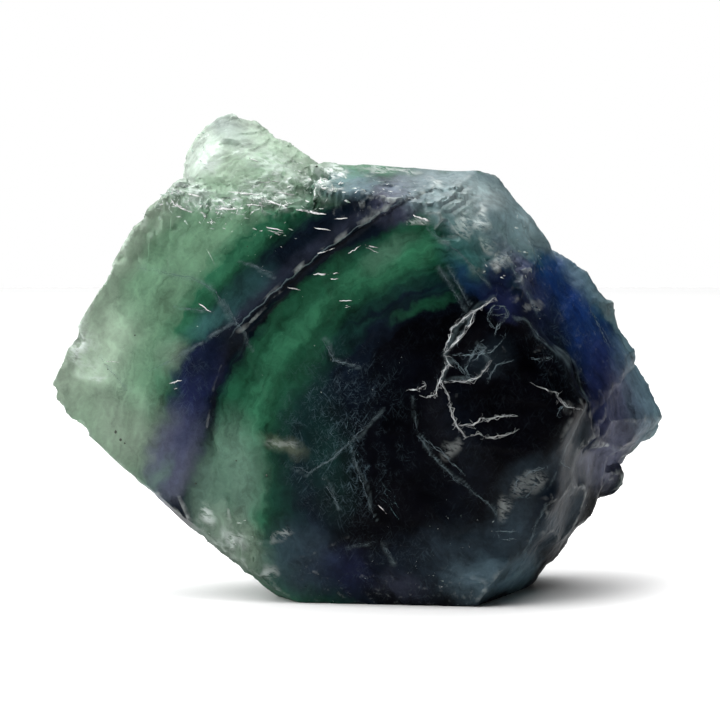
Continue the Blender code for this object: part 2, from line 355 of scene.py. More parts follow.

# Bruised places, whitened by fine open cleavage and painted with glints: centre (x, z), half sizes and
# strength.
FROST_AND_GLINT_PATCHES = [
    # The ledge, from left to right, and the notch at its end.
    ((-20.0, 47.5), (2.5, 1.5), 0.9), ((-17.0, 46.5), (2.5, 1.0), 1.0), ((-13.0, 47.5), (4.0, 1.0), 1.0),
    ((-10.5, 48.5), (3.5, 1.0), 0.9), ((-6.0, 49.5), (3.0, 1.0), 0.9), ((-3.5, 50.5), (1.5, 1.5), 0.9),
    # The peak: left, top, right and middle.
    ((-18.0, 52.5), (1.5, 2.5), 0.8), ((-15.5, 56.0), (2.0, 1.0), 0.6), ((-9.5, 51.5), (4.0, 2.0), 0.6),
    ((-14.0, 53.0), (2.5, 1.5), 0.4),
    # The top edge, its knot, and the corner of the green zone.
    ((3.0, 50.5), (3.5, 0.5), 0.6), ((8.0, 49.0), (1.0, 1.0), 0.9), ((7.0, 45.0), (1.5, 0.5), 0.9),
    # The shoulder, its two knots, and the right rim.
    ((14.0, 45.0), (1.0, 1.5), 1.0), ((12.0, 44.5), (1.0, 2.0), 0.8), ((14.5, 42.0), (1.0, 1.0), 0.8),
    ((16.0, 40.0), (1.0, 1.0), 0.6), ((20.5, 34.5), (1.5, 0.5), 0.35), ((30.5, 29.5), (1.0, 4.5), 0.5),
    # The left tip, and the rim of the foot.
    ((-33.0, 30.0), (2.0, 3.5), 0.7), ((-32.0, 26.5), (1.5, 0.5), 0.7), ((-18.0, 10.0), (1.0, 1.5), 0.8),
    ((-15.0, 7.5), (1.5, 1.5), 0.7), ((-11.0, 4.0), (1.0, 1.0), 0.6), ((-9.5, 8.0), (1.0, 0.5), 0.4),
    # The plate and its foot, and the straw-coloured flaw.
    ((16.5, 12.0), (1.5, 1.5), 0.28), ((19.5, 14.5), (2.0, 1.5), 0.3), ((10.5, 18.5), (1.0, 1.0), 0.25),
    ((-9.0, 19.0), (2.0, 0.5), 0.4),
]

# What shows along the seam: how far below the line, half width, strength and colour. The dark line is painted
# shadow in the seam's groove, and the pale line is a painted highlight on its lip.
SEAM_LINES = [(-0.9, 1.4, 0.14, "violet"), (0.3, 0.3, 0.7, "ink"), (-0.1, 0.12, 0.4, "pale_blue")]

# Heights in mm over which the relief and the bruised edges fade in above the flat base.
RELIEF_RISE = (0.15, 1.4)
CORNER_RISE = (0.2, 1.2)
# The seam's relief fades in between these depths, towards the broad face.
SEAM_DEPTHS = (-8.0, -10.0)
# The broad side reaches back to this depth for the worn edges.
WORN_DEPTH = -8.0
# The wear of the seam's closed end fades out between these heights, by adding this to its distance.
CLOSED_HEIGHTS = (31.0, 33.0)
PAST_THE_SEAM = 9.0
# Faces that look this much towards the front, and lie this high, get the finer mesh.
FRONT_FACING = -0.12
FRONT_HEIGHT = 0.3


def mesh_arrays(mesh):
    """The mesh's vertex places and normals, in millimetres."""
    places = np.empty(len(mesh.vertices) * 3, np.float32)
    normals = np.empty(len(mesh.vertices) * 3, np.float32)
    mesh.vertices.foreach_get("co", places)
    mesh.vertices.foreach_get("normal", normals)
    return places.reshape(-1, 3).astype(float) / MM, normals.reshape(-1, 3).astype(float)


def roughness_of(points):
    """How broken the surface is, from 0 on the smooth broad face to 1 on the ledge."""
    rough = np.zeros(len(points))
    for centre, radii, strength in ROUGH_PATCHES:
        rough = np.maximum(rough, strength * patch(points, centre, radii))
    behind = smooth_step(points[:, 1], -2.0, 6.0) * 0.2
    return np.maximum(rough, behind)


def distance_to_line(points, line):
    """How far each point is, seen from the front, from a line of (x, z) places: positive left of its run."""
    flat = points[:, [0, 2]]
    best = np.full(len(points), 1e6)
    for start, end in zip(line, line[1:]):
        start, end = np.array(start), np.array(end)
        along = end - start
        part = np.clip(((flat - start) @ along) / (along @ along), 0, 1)
        away = flat - start - part[:, None] * along
        side = np.sign(along[0] * away[:, 1] - along[1] * away[:, 0])
        distance = np.linalg.norm(away, axis=1)
        best = np.where(distance < np.abs(best), side * distance, best)
    return best


def cleavage_steps(points, normals, rough, step):
    """Moves each point to one of a stack of lattice planes, with a stack of its own for each block."""
    lattice = lattice_normals()
    along = points @ lattice.T
    nearest = np.abs(normals @ lattice.T).argmax(axis=1)
    drift = soft_noise(points, 7.0, 11)[:, None] * 0.4
    moved = np.zeros_like(points)
    # Large and small blocks: size in mm, share of the step's height, and seed.
    for size, share, seed in ((3.1, 0.65, 12), (1.5, 0.35, 13)):
        blocks = np.floor(along / size + drift)
        for i, normal in enumerate(lattice):
            others = np.delete(blocks, i, axis=1)
            phase = cell_value(others, seed + i)
            height = along[:, i] / step + phase
            shift = (np.floor(height) + 0.5 - height) * step * share * rough
            moved += np.where(nearest == i, shift, 0.0)[:, None] * normal
    return moved


def scales(points, normals, rough):
    """Thin flakes missing between the cleavage lines: level pieces with straight edges."""
    lattice = lattice_normals()[1:]
    wander = soft_noise(points, 6.0, 21)[:, None] * 0.5
    total = np.zeros(len(points))
    # Three layers of flakes: size and height in mm, and seed.
    for size, height, seed in ((5.2, 0.09, 31), (2.1, 0.09, 32), (1.15, 0.13, 33)):
        cells = np.floor((points @ lattice.T + wander) / size + 0.37)
        share = 0.35 + 0.65 * rough if size > 4 else rough
        total += (cell_value(cells, seed) - 0.5) * 2 * height * share
    return normals * total[:, None]


def folds(points):
    """Soft ridges with sharper hollows between them, as on a crumpled break."""
    ridge = 1 - np.abs(soft_noise(points, 5.2, 41)) * 2
    ridge += soft_noise(points, 2.6, 42) * 0.2
    height = np.zeros(len(points))
    for centre, radii, reach in FOLD_PATCHES:
        height = np.maximum(height, reach * patch(points, centre, radii))
    return ridge * height


def seam_relief(points):
    """The open seam's groove and lip, and the low cliff that the upper layer ends in."""
    below = distance_to_line(points, SEAM)
    open_share = smooth_step(points[:, 2], *SEAM_END)
    groove = -0.2 * np.exp(-((below - 0.25) / 0.22) ** 2) + 0.05 * np.exp(-((below + 0.35) / 0.4) ** 2)
    under = distance_to_line(points, CLIFF)
    layer = np.where(under < 0, 0.42 * np.exp(-(under / 3.4) ** 2), 0.0)
    return groove * open_share + layer * patch(points, CLIFF_CENTRE, CLIFF_REACH)


def add_relief(stone, settings):
    """The waves, steps and flakes of the break. The flat base stays flat."""
    points, normals = mesh_arrays(stone.data)
    rough = roughness_of(points)
    swell = settings.swell / MM
    waves = soft_noise(points, 9.0, 1) * swell + soft_noise(points, 3.6, 2) * swell * 0.35
    moved = normals * waves[:, None]
    moved += cleavage_steps(points, normals, rough, settings.step / MM)
    moved += scales(points, normals, rough)
    in_front = smooth_step(points[:, 1], *SEAM_DEPTHS)
    moved += normals * (folds(points) + seam_relief(points) * in_front)[:, None]
    moved *= smooth_step(points[:, 2], *RELIEF_RISE)[:, None]
    places = (points + moved) * MM
    stone.data.vertices.foreach_set("co", places.astype(np.float32).ravel())
    stone.data.update()


def soften_edges(stone):
    """Wears down the raised plate's rim, most of all at the left and top, and the closed end of the seam."""
    points, _ = mesh_arrays(stone.data)
    rim = distance_to_line(points, PLATE_RIM + PLATE_RIM[:1])
    left_rim = distance_to_line(points, PLATE_RIM[9:] + PLATE_RIM[:6])
    closed = np.abs(distance_to_line(points, SEAM))
    closed += smooth_step(points[:, 2], *CLOSED_HEIGHTS) * PAST_THE_SEAM
    # The name, the distance, how far the wear reaches in mm, and the rounds of smoothing.
    for name, away, reach, rounds in (("plate rim", rim, 3.0, 80), ("worn rim", left_rim, 4.5, 300),
                                      ("closed seam", closed, 3.6, 160)):
        group = stone.vertex_groups.new(name=name)
        near = (np.abs(away) < reach) & (points[:, 1] < WORN_DEPTH)
        group.add(np.nonzero(near)[0].tolist(), 1.0, "REPLACE")
        smooth = stone.modifiers.new(name, "SMOOTH")
        smooth.vertex_group = name
        smooth.iterations = rounds
    apply_all(stone)
    stone.vertex_groups.clear()


def split_front(stone):
    """Splits the faces that the broad side shows, so that its mesh is twice as fine as the rest."""
    only(stone)
    bpy.ops.object.mode_set(mode="EDIT")
    bpy.ops.mesh.select_all(action="DESELECT")
    bpy.ops.mesh.select_mode(type="FACE")
    grid = bmesh.from_edit_mesh(stone.data)
    for face in grid.faces:
        face.select_set(face.normal.y < FRONT_FACING and face.calc_center_median().z > FRONT_HEIGHT * MM)
    bmesh.update_edit_mesh(stone.data)
    bpy.ops.mesh.subdivide(number_cuts=1)
    bpy.ops.object.mode_set(mode="OBJECT")


def broad_share(points, normals):
    """1 on the broad side, 0 on the back and where the stone turns away to the left and right."""
    turned = np.abs(normals[:, 0]) - 0.8 * np.abs(normals[:, 2])
    return smooth_step(points[:, 1], 0.0, -4.0) * smooth_step(turned, 0.9, 0.7)


def pale_lines(points):
    """How strongly a healed crack shows at each point of the broad side."""
    shown = np.zeros(len(points))
    # A wide and a fine wander, each along X and then Z: size and reach in mm, and seed.
    wander = [soft_noise(points, size, seed) * reach for size, reach, seed in
              ((3.5, 0.5, 61), (3.5, 0.5, 62), (0.9, 0.22, 63), (0.9, 0.22, 64))]
    bent = points.copy()
    bent[:, 0] += wander[0] + wander[2]
    bent[:, 2] += wander[1] + wander[3]
    breadth = 0.75 + 0.65 * soft_noise(points, 1.6, 65)
    for strength, half_width, line in PALE_LINES:
        away = np.abs(distance_to_line(bent, line))
        shown = np.maximum(shown, strength * np.clip(1 - away / (half_width * breadth), 0, 1) ** 1.5)
    return shown


def frost_and_glint_marks(points):
    """How bruised the break is at each point of the broad side; the same marks carry painted glints."""
    shown = np.zeros(len(points))
    bent = points.copy()
    bent[:, 0] += soft_noise(points, 2.2, 71) * 1.3 + soft_noise(points, 0.8, 72) * 0.4
    bent[:, 2] += soft_noise(points, 2.2, 73) * 0.8 + soft_noise(points, 0.8, 74) * 0.4
    for (x, z), (half_x, half_z), strength in FROST_AND_GLINT_PATCHES:
        away = np.hypot((bent[:, 0] - x) / half_x, (bent[:, 2] - z) / half_z)
        shown = np.maximum(shown, strength * (1 - smooth_step(away, 0.3, 1.3)))
    return shown * (0.65 + 0.35 * smooth_step(soft_noise(points, 1.3, 75), -0.4, 0.3))


def write_attributes(stone):
    """Gives each point what the stone's material follows: its corners, breaks, seam, cracks, and bruises with
    their painted glints.
    """
    mesh = stone.data
    points, normals = mesh_arrays(mesh)
    edges = np.empty(len(mesh.edges) * 2, np.int32)
    mesh.edges.foreach_get("vertices", edges)
    edges = edges.reshape(-1, 2)
    corner = np.zeros(len(points))
    count = np.zeros(len(points))
    spread = normals.copy()
    for _ in range(2):
        mixed = spread.copy()
        np.add.at(mixed, edges[:, 0], spread[edges[:, 1]])
        np.add.at(mixed, edges[:, 1], spread[edges[:, 0]])
        spread = mixed / np.maximum(np.linalg.norm(mixed, axis=1), 1e-9)[:, None]
    step = points[edges[:, 1]] - points[edges[:, 0]]
    length = np.maximum(np.linalg.norm(step, axis=1), 1e-6)
    bend = ((spread[edges[:, 1]] - spread[edges[:, 0]]) * step).sum(axis=1) / length ** 2
    for side in (0, 1):
        np.add.at(corner, edges[:, side], bend)
        np.add.at(count, edges[:, side], 1)
    corner = np.clip(corner / np.maximum(count, 1), -1, 1) * smooth_step(points[:, 2], *CORNER_RISE)
    broad = broad_share(points, normals)
    values = {"corner": corner, "rough": roughness_of(points), "seam": distance_to_line(points, SEAM),
              "seam_share": smooth_step(points[:, 2], *SEAM_END), "pale_line": pale_lines(points) * broad,
              "bruise": frost_and_glint_marks(points) * broad}
    for name, value in values.items():
        attribute = mesh.attributes.new(name, "FLOAT", "POINT")
        attribute.data.foreach_set("value", value.astype(np.float32))


# ---------------------------------------------------------------- the stone's material

# Growth zones outward from the centre of the curve: radius in mm, and the colour there.
GROWTH_ZONES = [
    (0.0, "ink"), (18.5, "ink"), (20.5, "night"), (23.0, "deep_green"), (25.0, "forest"), (26.5, "green"),
    (28.5, "forest"), (29.5, "forest"), (30.5, "night"), (35.0, "night"), (36.5, "forest"), (38.0, "green"),
    (40.0, "sage"), (45.0, "sage"), (49.0, "pale_sage"), (56.0, "pale_sage"),
]
ZONE_REACH = 60.0

# Clouds of colour over the growth zones: name, centre (x, z), half sizes, turn in degrees, softness, how
# strong, and the colour.
COLOUR_CLOUDS = [
    ("left edge of the core", (3.0, 16.6), (11.4, 12.6), 0, 0.4, 0.9, "night"),
    ("left part of the core", (4.0, 15.6), (9.6, 10.6), 0, 0.5, 0.9, "ink"),
    ("low part of the core", (3.0, 10.6), (7.0, 6.0), 0, 0.6, 0.85, "ink"),
    ("upper part of the core", (5.8, 24.4), (5.4, 5.4), 0, 0.6, 0.85, "ink"),
    ("right part of the core", (20.4, 21.4), (7.4, 9.6), 0, 0.4, 0.95, "ink"),
    ("pale patch", (-31.0, 29.0), (5.0, 7.4), -28, 0.8, 0.8, "pale_sage"),
    ("pale patch by the seam", (-22.0, 29.0), (2.2, 2.6), -28, 0.9, 0.4, "pale_sage"),
    ("pale low side", (-28.0, 19.6), (8.5, 5.5), -40, 0.8, 0.7, "pale_sage"),
    ("sage side", (-25.5, 26.0), (3.4, 5.0), -20, 0.9, 0.5, "sage"),
    ("teal patch", (-17.6, 32.6), (3.6, 1.5), 30, 0.8, 0.8, "teal"),
    ("foot of the green zone", (-15.6, 13.0), (4.2, 9.0), -8, 0.6, 0.85, "mint"),
    ("foot rim", (-14.6, 7.0), (5.8, 3.2), -44, 0.6, 0.4, "pale_sage"),
    ("violet foot of the dark zone", (-22.1, 17.2), (3.2, 7.4), -18, 0.6, 0.95, "violet"),
    ("indigo heart", (-18.9, 26.0), (2.9, 5.2), -24, 0.6, 0.95, "indigo"),
    ("night heart", (-18.0, 27.8), (1.7, 3.4), -24, 0.8, 0.7, "night"),
    ("rich green", (-7.6, 27.4), (2.4, 5.2), -30, 0.8, 0.6, "forest"),
    ("bright green", (5.4, 40.4), (6.5, 1.6), 34, 0.8, 0.8, "green"),
    ("pale in the bright green", (3.0, 41.0), (4.0, 1.4), 34, 0.9, 0.35, "mint"),
    ("deep green in the arc", (-2.5, 35.0), (3.4, 1.4), 38, 0.9, 0.5, "forest"),
    ("teal in the dark band", (-13.4, 36.6), (4.5, 1.8), 45, 0.9, 0.4, "teal"),
    ("teal shade left of the core", (-4.5, 19.0), (3.6, 9.0), 10, 0.9, 0.5, "deep_green"),
    ("upper dark streak", (6.4, 36.2), (5.5, 0.4), 22, 0.9, 0.9, "night"),
    ("lower dark streak", (2.4, 34.2), (5.0, 0.35), 24, 0.9, 0.9, "night"),
    ("green under the streak", (7.6, 34.9), (4.5, 0.7), 24, 0.8, 0.9, "forest"),
    ("peak", (-13.5, 52.9), (12.0, 5.8), 0, 0.5, 0.9, "pale_sage"),
    ("green in the peak", (-10.8, 51.2), (3.4, 2.2), 0, 0.9, 0.45, "sage"),
    ("grey side of the peak", (-19.0, 52.0), (2.2, 5.0), -30, 0.9, 0.5, "frost"),
    ("violet top of the peak", (-16.0, 55.6), (4.6, 2.2), -30, 0.9, 0.5, "violet"),
    ("ledge haze", (-13.5, 47.8), (10.5, 2.2), 0, 0.8, 0.5, "pale_sage"),
    ("night at the top", (1.0, 44.4), (6.0, 2.8), 38, 0.7, 0.85, "night"),
    ("slate top", (-1.5, 48.8), (4.2, 1.8), 0, 0.7, 0.6, "steel"),
    ("violet top", (4.2, 47.2), (2.6, 3.4), -35, 0.7, 0.8, "violet"),
    ("steel shoulder", (14.0, 43.8), (6.0, 3.8), -30, 0.6, 0.75, "steel"),
    ("pale top", (11.6, 47.6), (8.0, 3.4), -8, 0.7, 0.85, "pale_blue"),
    # Painted light: a frost-white cloud makes the top of the shoulder lighter, as where light from above falls
    # on it.
    ("painted light on the top", (13.4, 47.0), (4.6, 2.2), -10, 0.9, 0.4, "frost"),
    ("teal hollow", (11.8, 40.6), (2.2, 4.6), 42, 0.7, 0.75, "teal"),
    ("navy in the hollow", (12.4, 38.2), (1.1, 3.0), 42, 0.8, 0.6, "navy"),
    ("pale hollow", (15.6, 42.4), (2.0, 3.4), 42, 0.7, 0.6, "pale_blue"),
    ("violet vein", (18.6, 38.9), (1.6, 6.0), 38, 0.8, 0.85, "violet"),
    ("dark vein", (16.0, 35.6), (1.7, 3.2), 50, 0.8, 0.8, "indigo"),
    ("blue shoulder", (24.0, 37.0), (4.4, 7.0), 38, 0.7, 0.95, "navy"),
    ("indigo shoulder", (21.6, 33.6), (2.2, 4.4), 40, 0.8, 0.7, "indigo"),
    ("pale shoulder rim", (20.8, 44.2), (1.8, 5.4), 42, 0.8, 0.8, "pale_blue"),
    ("night shoulder", (24.2, 31.0), (3.0, 6.2), 44, 0.7, 0.8, "night"),
    ("blue heart", (26.0, 34.4), (1.8, 2.6), 40, 0.8, 0.7, "navy"),
    ("blue under the shoulder", (28.6, 30.0), (4.0, 7.0), 30, 0.6, 0.8, "navy"),
    ("grey shoulder rim", (31.0, 33.0), (1.2, 6.4), 32, 0.8, 0.6, "pale_blue"),
    ("grey-blue rim", (27.4, 37.6), (2.4, 5.0), 45, 0.7, 0.7, "steel"),
    ("violet knot", (15.8, 38.2), (2.4, 2.4), 0, 0.8, 0.8, "indigo"),
    ("pale end of the shoulder", (18.4, 43.4), (2.6, 4.0), 40, 0.7, 0.85, "pale_blue"),
    ("violet side", (29.4, 24.0), (3.0, 8.5), 4, 0.6, 0.8, "indigo"),
    ("slate side", (24.6, 17.4), (3.0, 5.0), -20, 0.7, 0.6, "slate"),
    ("knob", (33.0, 22.0), (4.6, 6.2), 0, 0.7, 0.8, "violet"),
    ("bud", (29.0, 15.0), (3.8, 3.6), 0, 0.7, 0.85, "violet"),
    ("slate foot", (-7.6, 5.0), (5.0, 5.0), -10, 0.6, 0.85, "slate"),
    ("blue foot", (-2.4, 4.0), (4.6, 3.2), 0, 0.8, 0.5, "indigo"),
    ("dark middle foot", (5.4, 4.4), (4.6, 4.4), 0, 0.7, 0.8, "night"),
    ("violet in the foot", (5.0, 2.4), (3.4, 1.8), 0, 0.8, 0.2, "violet"),
    ("slate right foot", (12.6, 5.2), (6.6, 4.6), 0, 0.8, 0.6, "slate"),
    ("steel foot", (14.6, 3.0), (4.6, 2.8), 0, 0.9, 0.4, "steel"),
    ("pale foot corner", (19.0, 3.0), (2.6, 3.4), -20, 0.8, 0.7, "steel"),
    ("slate under the plate", (18.6, 9.4), (3.8, 3.8), -30, 0.8, 0.8, "slate"),
    ("teal low plate", (19.4, 15.0), (4.2, 2.6), 30, 0.8, 0.5, "slate"),
    ("blue low side", (23.6, 9.0), (3.0, 7.0), -32, 0.7, 0.7, "slate"),
    ("dark crease", (21.8, 13.4), (1.1, 5.0), -28, 0.9, 0.8, "night"),
    ("plate haze", (14.8, 29.0), (3.0, 2.4), 30, 0.9, 0.3, "slate"),
    ("straw patch", (-9.0, 18.5), (2.8, 1.1), -14, 1.0, 0.3, "straw"),
    ("indigo in the violet foot", (-20.5, 20.0), (1.6, 4.6), -18, 0.9, 0.6, "indigo"),
    ("mint in the violet foot", (-23.6, 14.6), (1.0, 3.0), -30, 0.9, 0.5, "mint"),
    ("far right side", (37.0, 27.0), (6.0, 14.0), 12, 0.5, 0.8, "steel"),
]

# Fine healed cracks, as short streaks: turn in degrees, length and width in mm, and how strongly they show.
# Real ones are a few hundredths of a millimetre wide, and these are drawn coarser so that they show.
STREAKS = [(-58.0, 1.7, 0.22, 0.7), (44.0, 1.3, 0.2, 0.55), (-12.0, 1.0, 0.2, 0.5), (-106.0, 1.5, 0.22, 0.6)]
# Where they crowd: centre (x, z), half sizes and strength. An ellipse is full and gone at these radii.
STREAKED_FADE = (0.3, 1.3)
STREAKED = [((-2.5, 20.0), (8.0, 10.5), 1.0), ((4.0, 4.5), (18.0, 5.0), 0.3), ((24.0, 31.0), (5.0, 9.0), 0.5),
            ((-20.0, 24.0), (4.0, 10.0), 0.4)]
STREAKED_ELSEWHERE = 0.07

# Light inside the stone: the tint that it takes, and how much is taken for each metre.
INSIDE_TINT = "b4cdc4"
INSIDE_DENSITY = 25.0
# The mirror part is low, because rough breaks scatter it and it would grey the dark zones.
SPECULAR_LEVEL = 0.02
# Height of the finest grain of the breaks, in metres.
GRAIN_HEIGHT = 0.00008


def noise_mask(node, noise, low, high, start=0.0, end=1.0):
    """Noise with the given inputs, with its stretch from low to high spread from start to end."""
    value = node("TexNoise", noise)
    return node("MapRange", {"Value": value, "From Min": low, "From Max": high,
                             "To Min": start, "To Max": end})


def soft_spot(node, place, centre, half_sizes, turn, fade, strength, label=""):
    """A mask right through the stone: an ellipse that has its strength in the middle and fades outward."""
    around = node("Mapping", {
        "Vector": place, "Location": (centre[0], FACE_DEPTH, centre[1]),
        "Rotation": (0.0, -math.radians(turn), 0.0), "Scale": (half_sizes[0], THROUGH, half_sizes[1])},
        vector_type="TEXTURE", label=label)
    away = node("VectorMath", [around], out="Value", operation="LENGTH")
    return node("MapRange", {"Value": away, "From Min": fade[0], "From Max": fade[1], "To Min": strength,
                             "To Max": 0.0}, interpolation_type="SMOOTHSTEP")


def combined(node, operation, *values):
    """The values put together by one operation, from left to right."""
    total = values[0]
    for value in values[1:]:
        total = node("Math", [total, value], operation=operation)
    return total


def painted(node, colour, layers):
    """Lays each layer, a share and a colour, over the colour in turn."""
    for share, over in layers:
        colour = node("Mix", {0: share, 6: colour, 7: over}, out=2, data_type="RGBA")
    return colour


def fluorite_material(colours):
    """Fluorite, cleaved and left rough: lit through where it is clear, with dark and pale growth zones."""
    material, dress, node, mm = new_material("fluorite_cleaved")
    mask = partial(noise_mask, node)
    given = {name: node("Attribute", out="Fac", attribute_name=name)
             for name in ("seam", "seam_share", "pale_line", "corner", "rough", "bruise")}

    # Growth was uneven, so the zones wander, and their edges are feathered.
    inside = mm
    for scale, reach in ((0.09, 2.6), (0.55, 2.3)):
        drift = node("TexNoise", {"Vector": mm, "Scale": scale, "Detail": 4.0}, out="Color")
        drift = node("VectorMath", [drift, (0.5, 0.5, 0.5)], operation="SUBTRACT")
        drift = node("VectorMath", {0: drift, "Scale": reach}, operation="SCALE")
        inside = node("VectorMath", [inside, drift], operation="ADD")

    # Distance from the axis that the zones curve round, and the place along the curve.
    local = node("Mapping", {
        "Vector": inside, "Location": (ZONE_CENTRE[0], FACE_DEPTH, ZONE_CENTRE[1]),
        "Rotation": (math.radians(-8), 0.0, math.radians(12)), "Scale": (1.0, THROUGH, 1.0)},
        vector_type="TEXTURE")
    radius = node("VectorMath", [local], out="Value", operation="LENGTH")
    parts = node("SeparateXYZ", [local]).node.outputs
    across = node("Math", [parts[0], -1.0], operation="MULTIPLY")
    upward = node("Math", [parts[2], -1.0], operation="MULTIPLY")
    angle = node("Math", [upward, across], operation="ARCTAN2")
    arc = node("Math", [angle, 3.0], operation="MULTIPLY")
    polar = node("CombineXYZ", [radius, arc, 0.0])
    streak = node("TexNoise", {"Vector": polar, "Scale": 0.9, "Detail": 5.0, "Roughness": 0.6})
    shift = node("Math", [streak, -0.5], operation="ADD")
    radius = node("Math", [shift, 3.0, radius], operation="MULTIPLY_ADD")
    ramp = node("ValToRGB", [node("Math", [radius, ZONE_REACH], operation="DIVIDE")]).node
    stops = ramp.color_ramp.elements
    while len(stops) < len(GROWTH_ZONES):
        stops.new(1.0)
    for stop, (reach, zone_colour) in zip(stops, GROWTH_ZONES):
        stop.position = reach / ZONE_REACH
        stop.color = getattr(colours, zone_colour)

    layers = []
    for name, centre, half_sizes, turn, soft, strength, cloud_colour in COLOUR_CLOUDS:
        cloud = soft_spot(node, inside, centre, half_sizes, turn, (1 - soft, 1 + soft * 0.4), strength, name)
        layers.append((cloud, getattr(colours, cloud_colour)))

    # The seam: a crisp dark line of painted shadow in its groove, under a soft pale painted highlight on its
    # lip, both coming and going with a noise.
    film = node("TexNoise", {"Vector": mm, "Scale": 0.6, "Detail": 4.0})
    seam = node("Math", [film, 1.2, given["seam"]], operation="MULTIPLY_ADD")
    for offset, half_width, strength, seam_colour in SEAM_LINES:
        near = node("Math", [seam, -0.6 - offset], operation="ADD")
        near = node("Math", [near], operation="ABSOLUTE")
        near = node("MapRange", {"Value": near, "From Max": half_width, "To Min": strength, "To Max": 0.0},
                    interpolation_type="SMOOTHSTEP")
        near = node("Math", [near, given["seam_share"]], operation="MULTIPLY")
        layers.append((near, getattr(colours, seam_colour)))
    colour = painted(node, ramp.outputs[0], layers)

    # Growth lines: the colour is brushed along the zones in places, and cloudy all over.
    brush = mask({"Vector": polar, "Scale": 1.2, "Detail": 4.0, "Roughness": 0.6}, 0.3, 0.7, -1.0)
    where = mask({"Vector": mm, "Scale": 0.12, "Detail": 2.0}, 0.35, 0.6, 0.0, 0.42)
    mottle = mask({"Vector": inside, "Scale": 0.32, "Detail": 8.0, "Roughness": 0.68}, 0.32, 0.68, 0.5, 1.5)
    tone = node("Math", [brush, where, mottle], operation="MULTIPLY_ADD")
    colour = node("VectorMath", {0: colour, "Scale": tone}, operation="SCALE")

    # Healed cracks inside show as fine pale streaks, crowded left of the core and few elsewhere.
    crowds = [soft_spot(node, inside, centre, half_sizes, 0, STREAKED_FADE, strength)
              for centre, half_sizes, strength in STREAKED]
    crowded = combined(node, "MAXIMUM", *crowds, STREAKED_ELSEWHERE)
    streaks = []
    for turn, length, width, share in STREAKS:
        along = node("Mapping", {"Vector": mm, "Rotation": (0.0, math.radians(turn), 0.0),
                                 "Scale": (length, 12.0, width)}, vector_type="TEXTURE")
        fine = {"Vector": along, "Scale": 1.0, "Detail": 4.0, "Roughness": 0.7, "Distortion": 0.4}
        streaks.append(mask(fine, 0.56, 0.8, 0.0, share))
    thin = mask({"Vector": mm, "Scale": 0.5, "Detail": 3.0}, 0.38, 0.58)
    streaks = combined(node, "MULTIPLY", combined(node, "MAXIMUM", *streaks), crowded, thin)

    # Longer healed cracks: soft pale lines that come and go.
    gaps = mask({"Vector": mm, "Scale": 0.9, "Detail": 5.0, "Roughness": 0.65}, 0.3, 0.66, 0.0, 0.6)
    cracks = node("Math", [given["pale_line"], gaps], operation="MULTIPLY")

    # Whitened corners and breaks: bruised fluorite scatters light. Part of this white is painted glints: the
    # slivers on the bruised places and the specks on the rough breaks.
    speckle = node("TexNoise", {"Vector": mm, "Scale": 1.8, "Detail": 4.0})
    patchy = mask({"Vector": mm, "Scale": 0.5, "Detail": 3.0}, 0.45, 0.65)
    corner = node("MapRange", {"Value": given["corner"], "From Min": 0.2, "From Max": 0.9})
    corner = combined(node, "MULTIPLY", corner, speckle, patchy)
    frost_and_glint_specks = node("MapRange", {"Value": speckle, "From Min": 0.58, "From Max": 0.75})
    frost_and_glint_specks = combined(node, "MULTIPLY", frost_and_glint_specks, given["rough"], patchy)
    frost = node("Math", [frost_and_glint_specks, 0.35, corner], operation="MULTIPLY_ADD", use_clamp=True)
    painted_glint_slivers = []
    for turn in (6.0, 38.0):
        grain = node("Mapping", {"Vector": mm, "Rotation": (0.0, math.radians(turn), 0.0),
                                 "Scale": (1.6, 1.6, 0.42)}, vector_type="TEXTURE")
        painted_glint_slivers.append(mask({"Vector": grain, "Scale": 1.0, "Detail": 6.0, "Roughness": 0.7}, 0.47, 0.56))
    painted_glint_slivers = combined(node, "MAXIMUM", *painted_glint_slivers)
    frost = node("Math", [given["bruise"], painted_glint_slivers, frost], operation="MULTIPLY_ADD", use_clamp=True)
    marks = [(streaks, colours.steel), (cracks, colours.pale_blue), (frost, colours.frost)]
    colour = painted(node, colour, marks)

    # Dense zones let little light through, so their clearness follows their lightness.
    light = node("Math", [node("RGBToBW", [colour]), 0.5], operation="POWER")
    clear = node("MapRange", {"Value": light, "From Max": 0.6, "To Max": 0.68})
    cloud = node("MapRange", {"Value": frost, "To Min": 1.0, "To Max": 0.45})
    shine = node("MapRange", {"Value": light, "From Max": 0.45, "To Min": 0.3, "To Max": 0.46})
    grain = node("TexNoise", {"Vector": mm, "Scale": 2.2, "Detail": 6.0, "Roughness": 0.65})
    dress({"Base Color": colour, "Roughness": shine, "Specular IOR Level": SPECULAR_LEVEL,
           "Transmission Weight": node("Math", [clear, cloud], operation="MULTIPLY"),
           "Normal": node("Bump", {"Height": grain, "Strength": 0.3, "Distance": GRAIN_HEIGHT})})
    absorb = node("VolumeAbsorption", {"Color": linear(INSIDE_TINT), "Density": INSIDE_DENSITY})
    feed(material.node_tree, material.node_tree.nodes["Material Output"], {"Volume": absorb})
    return material


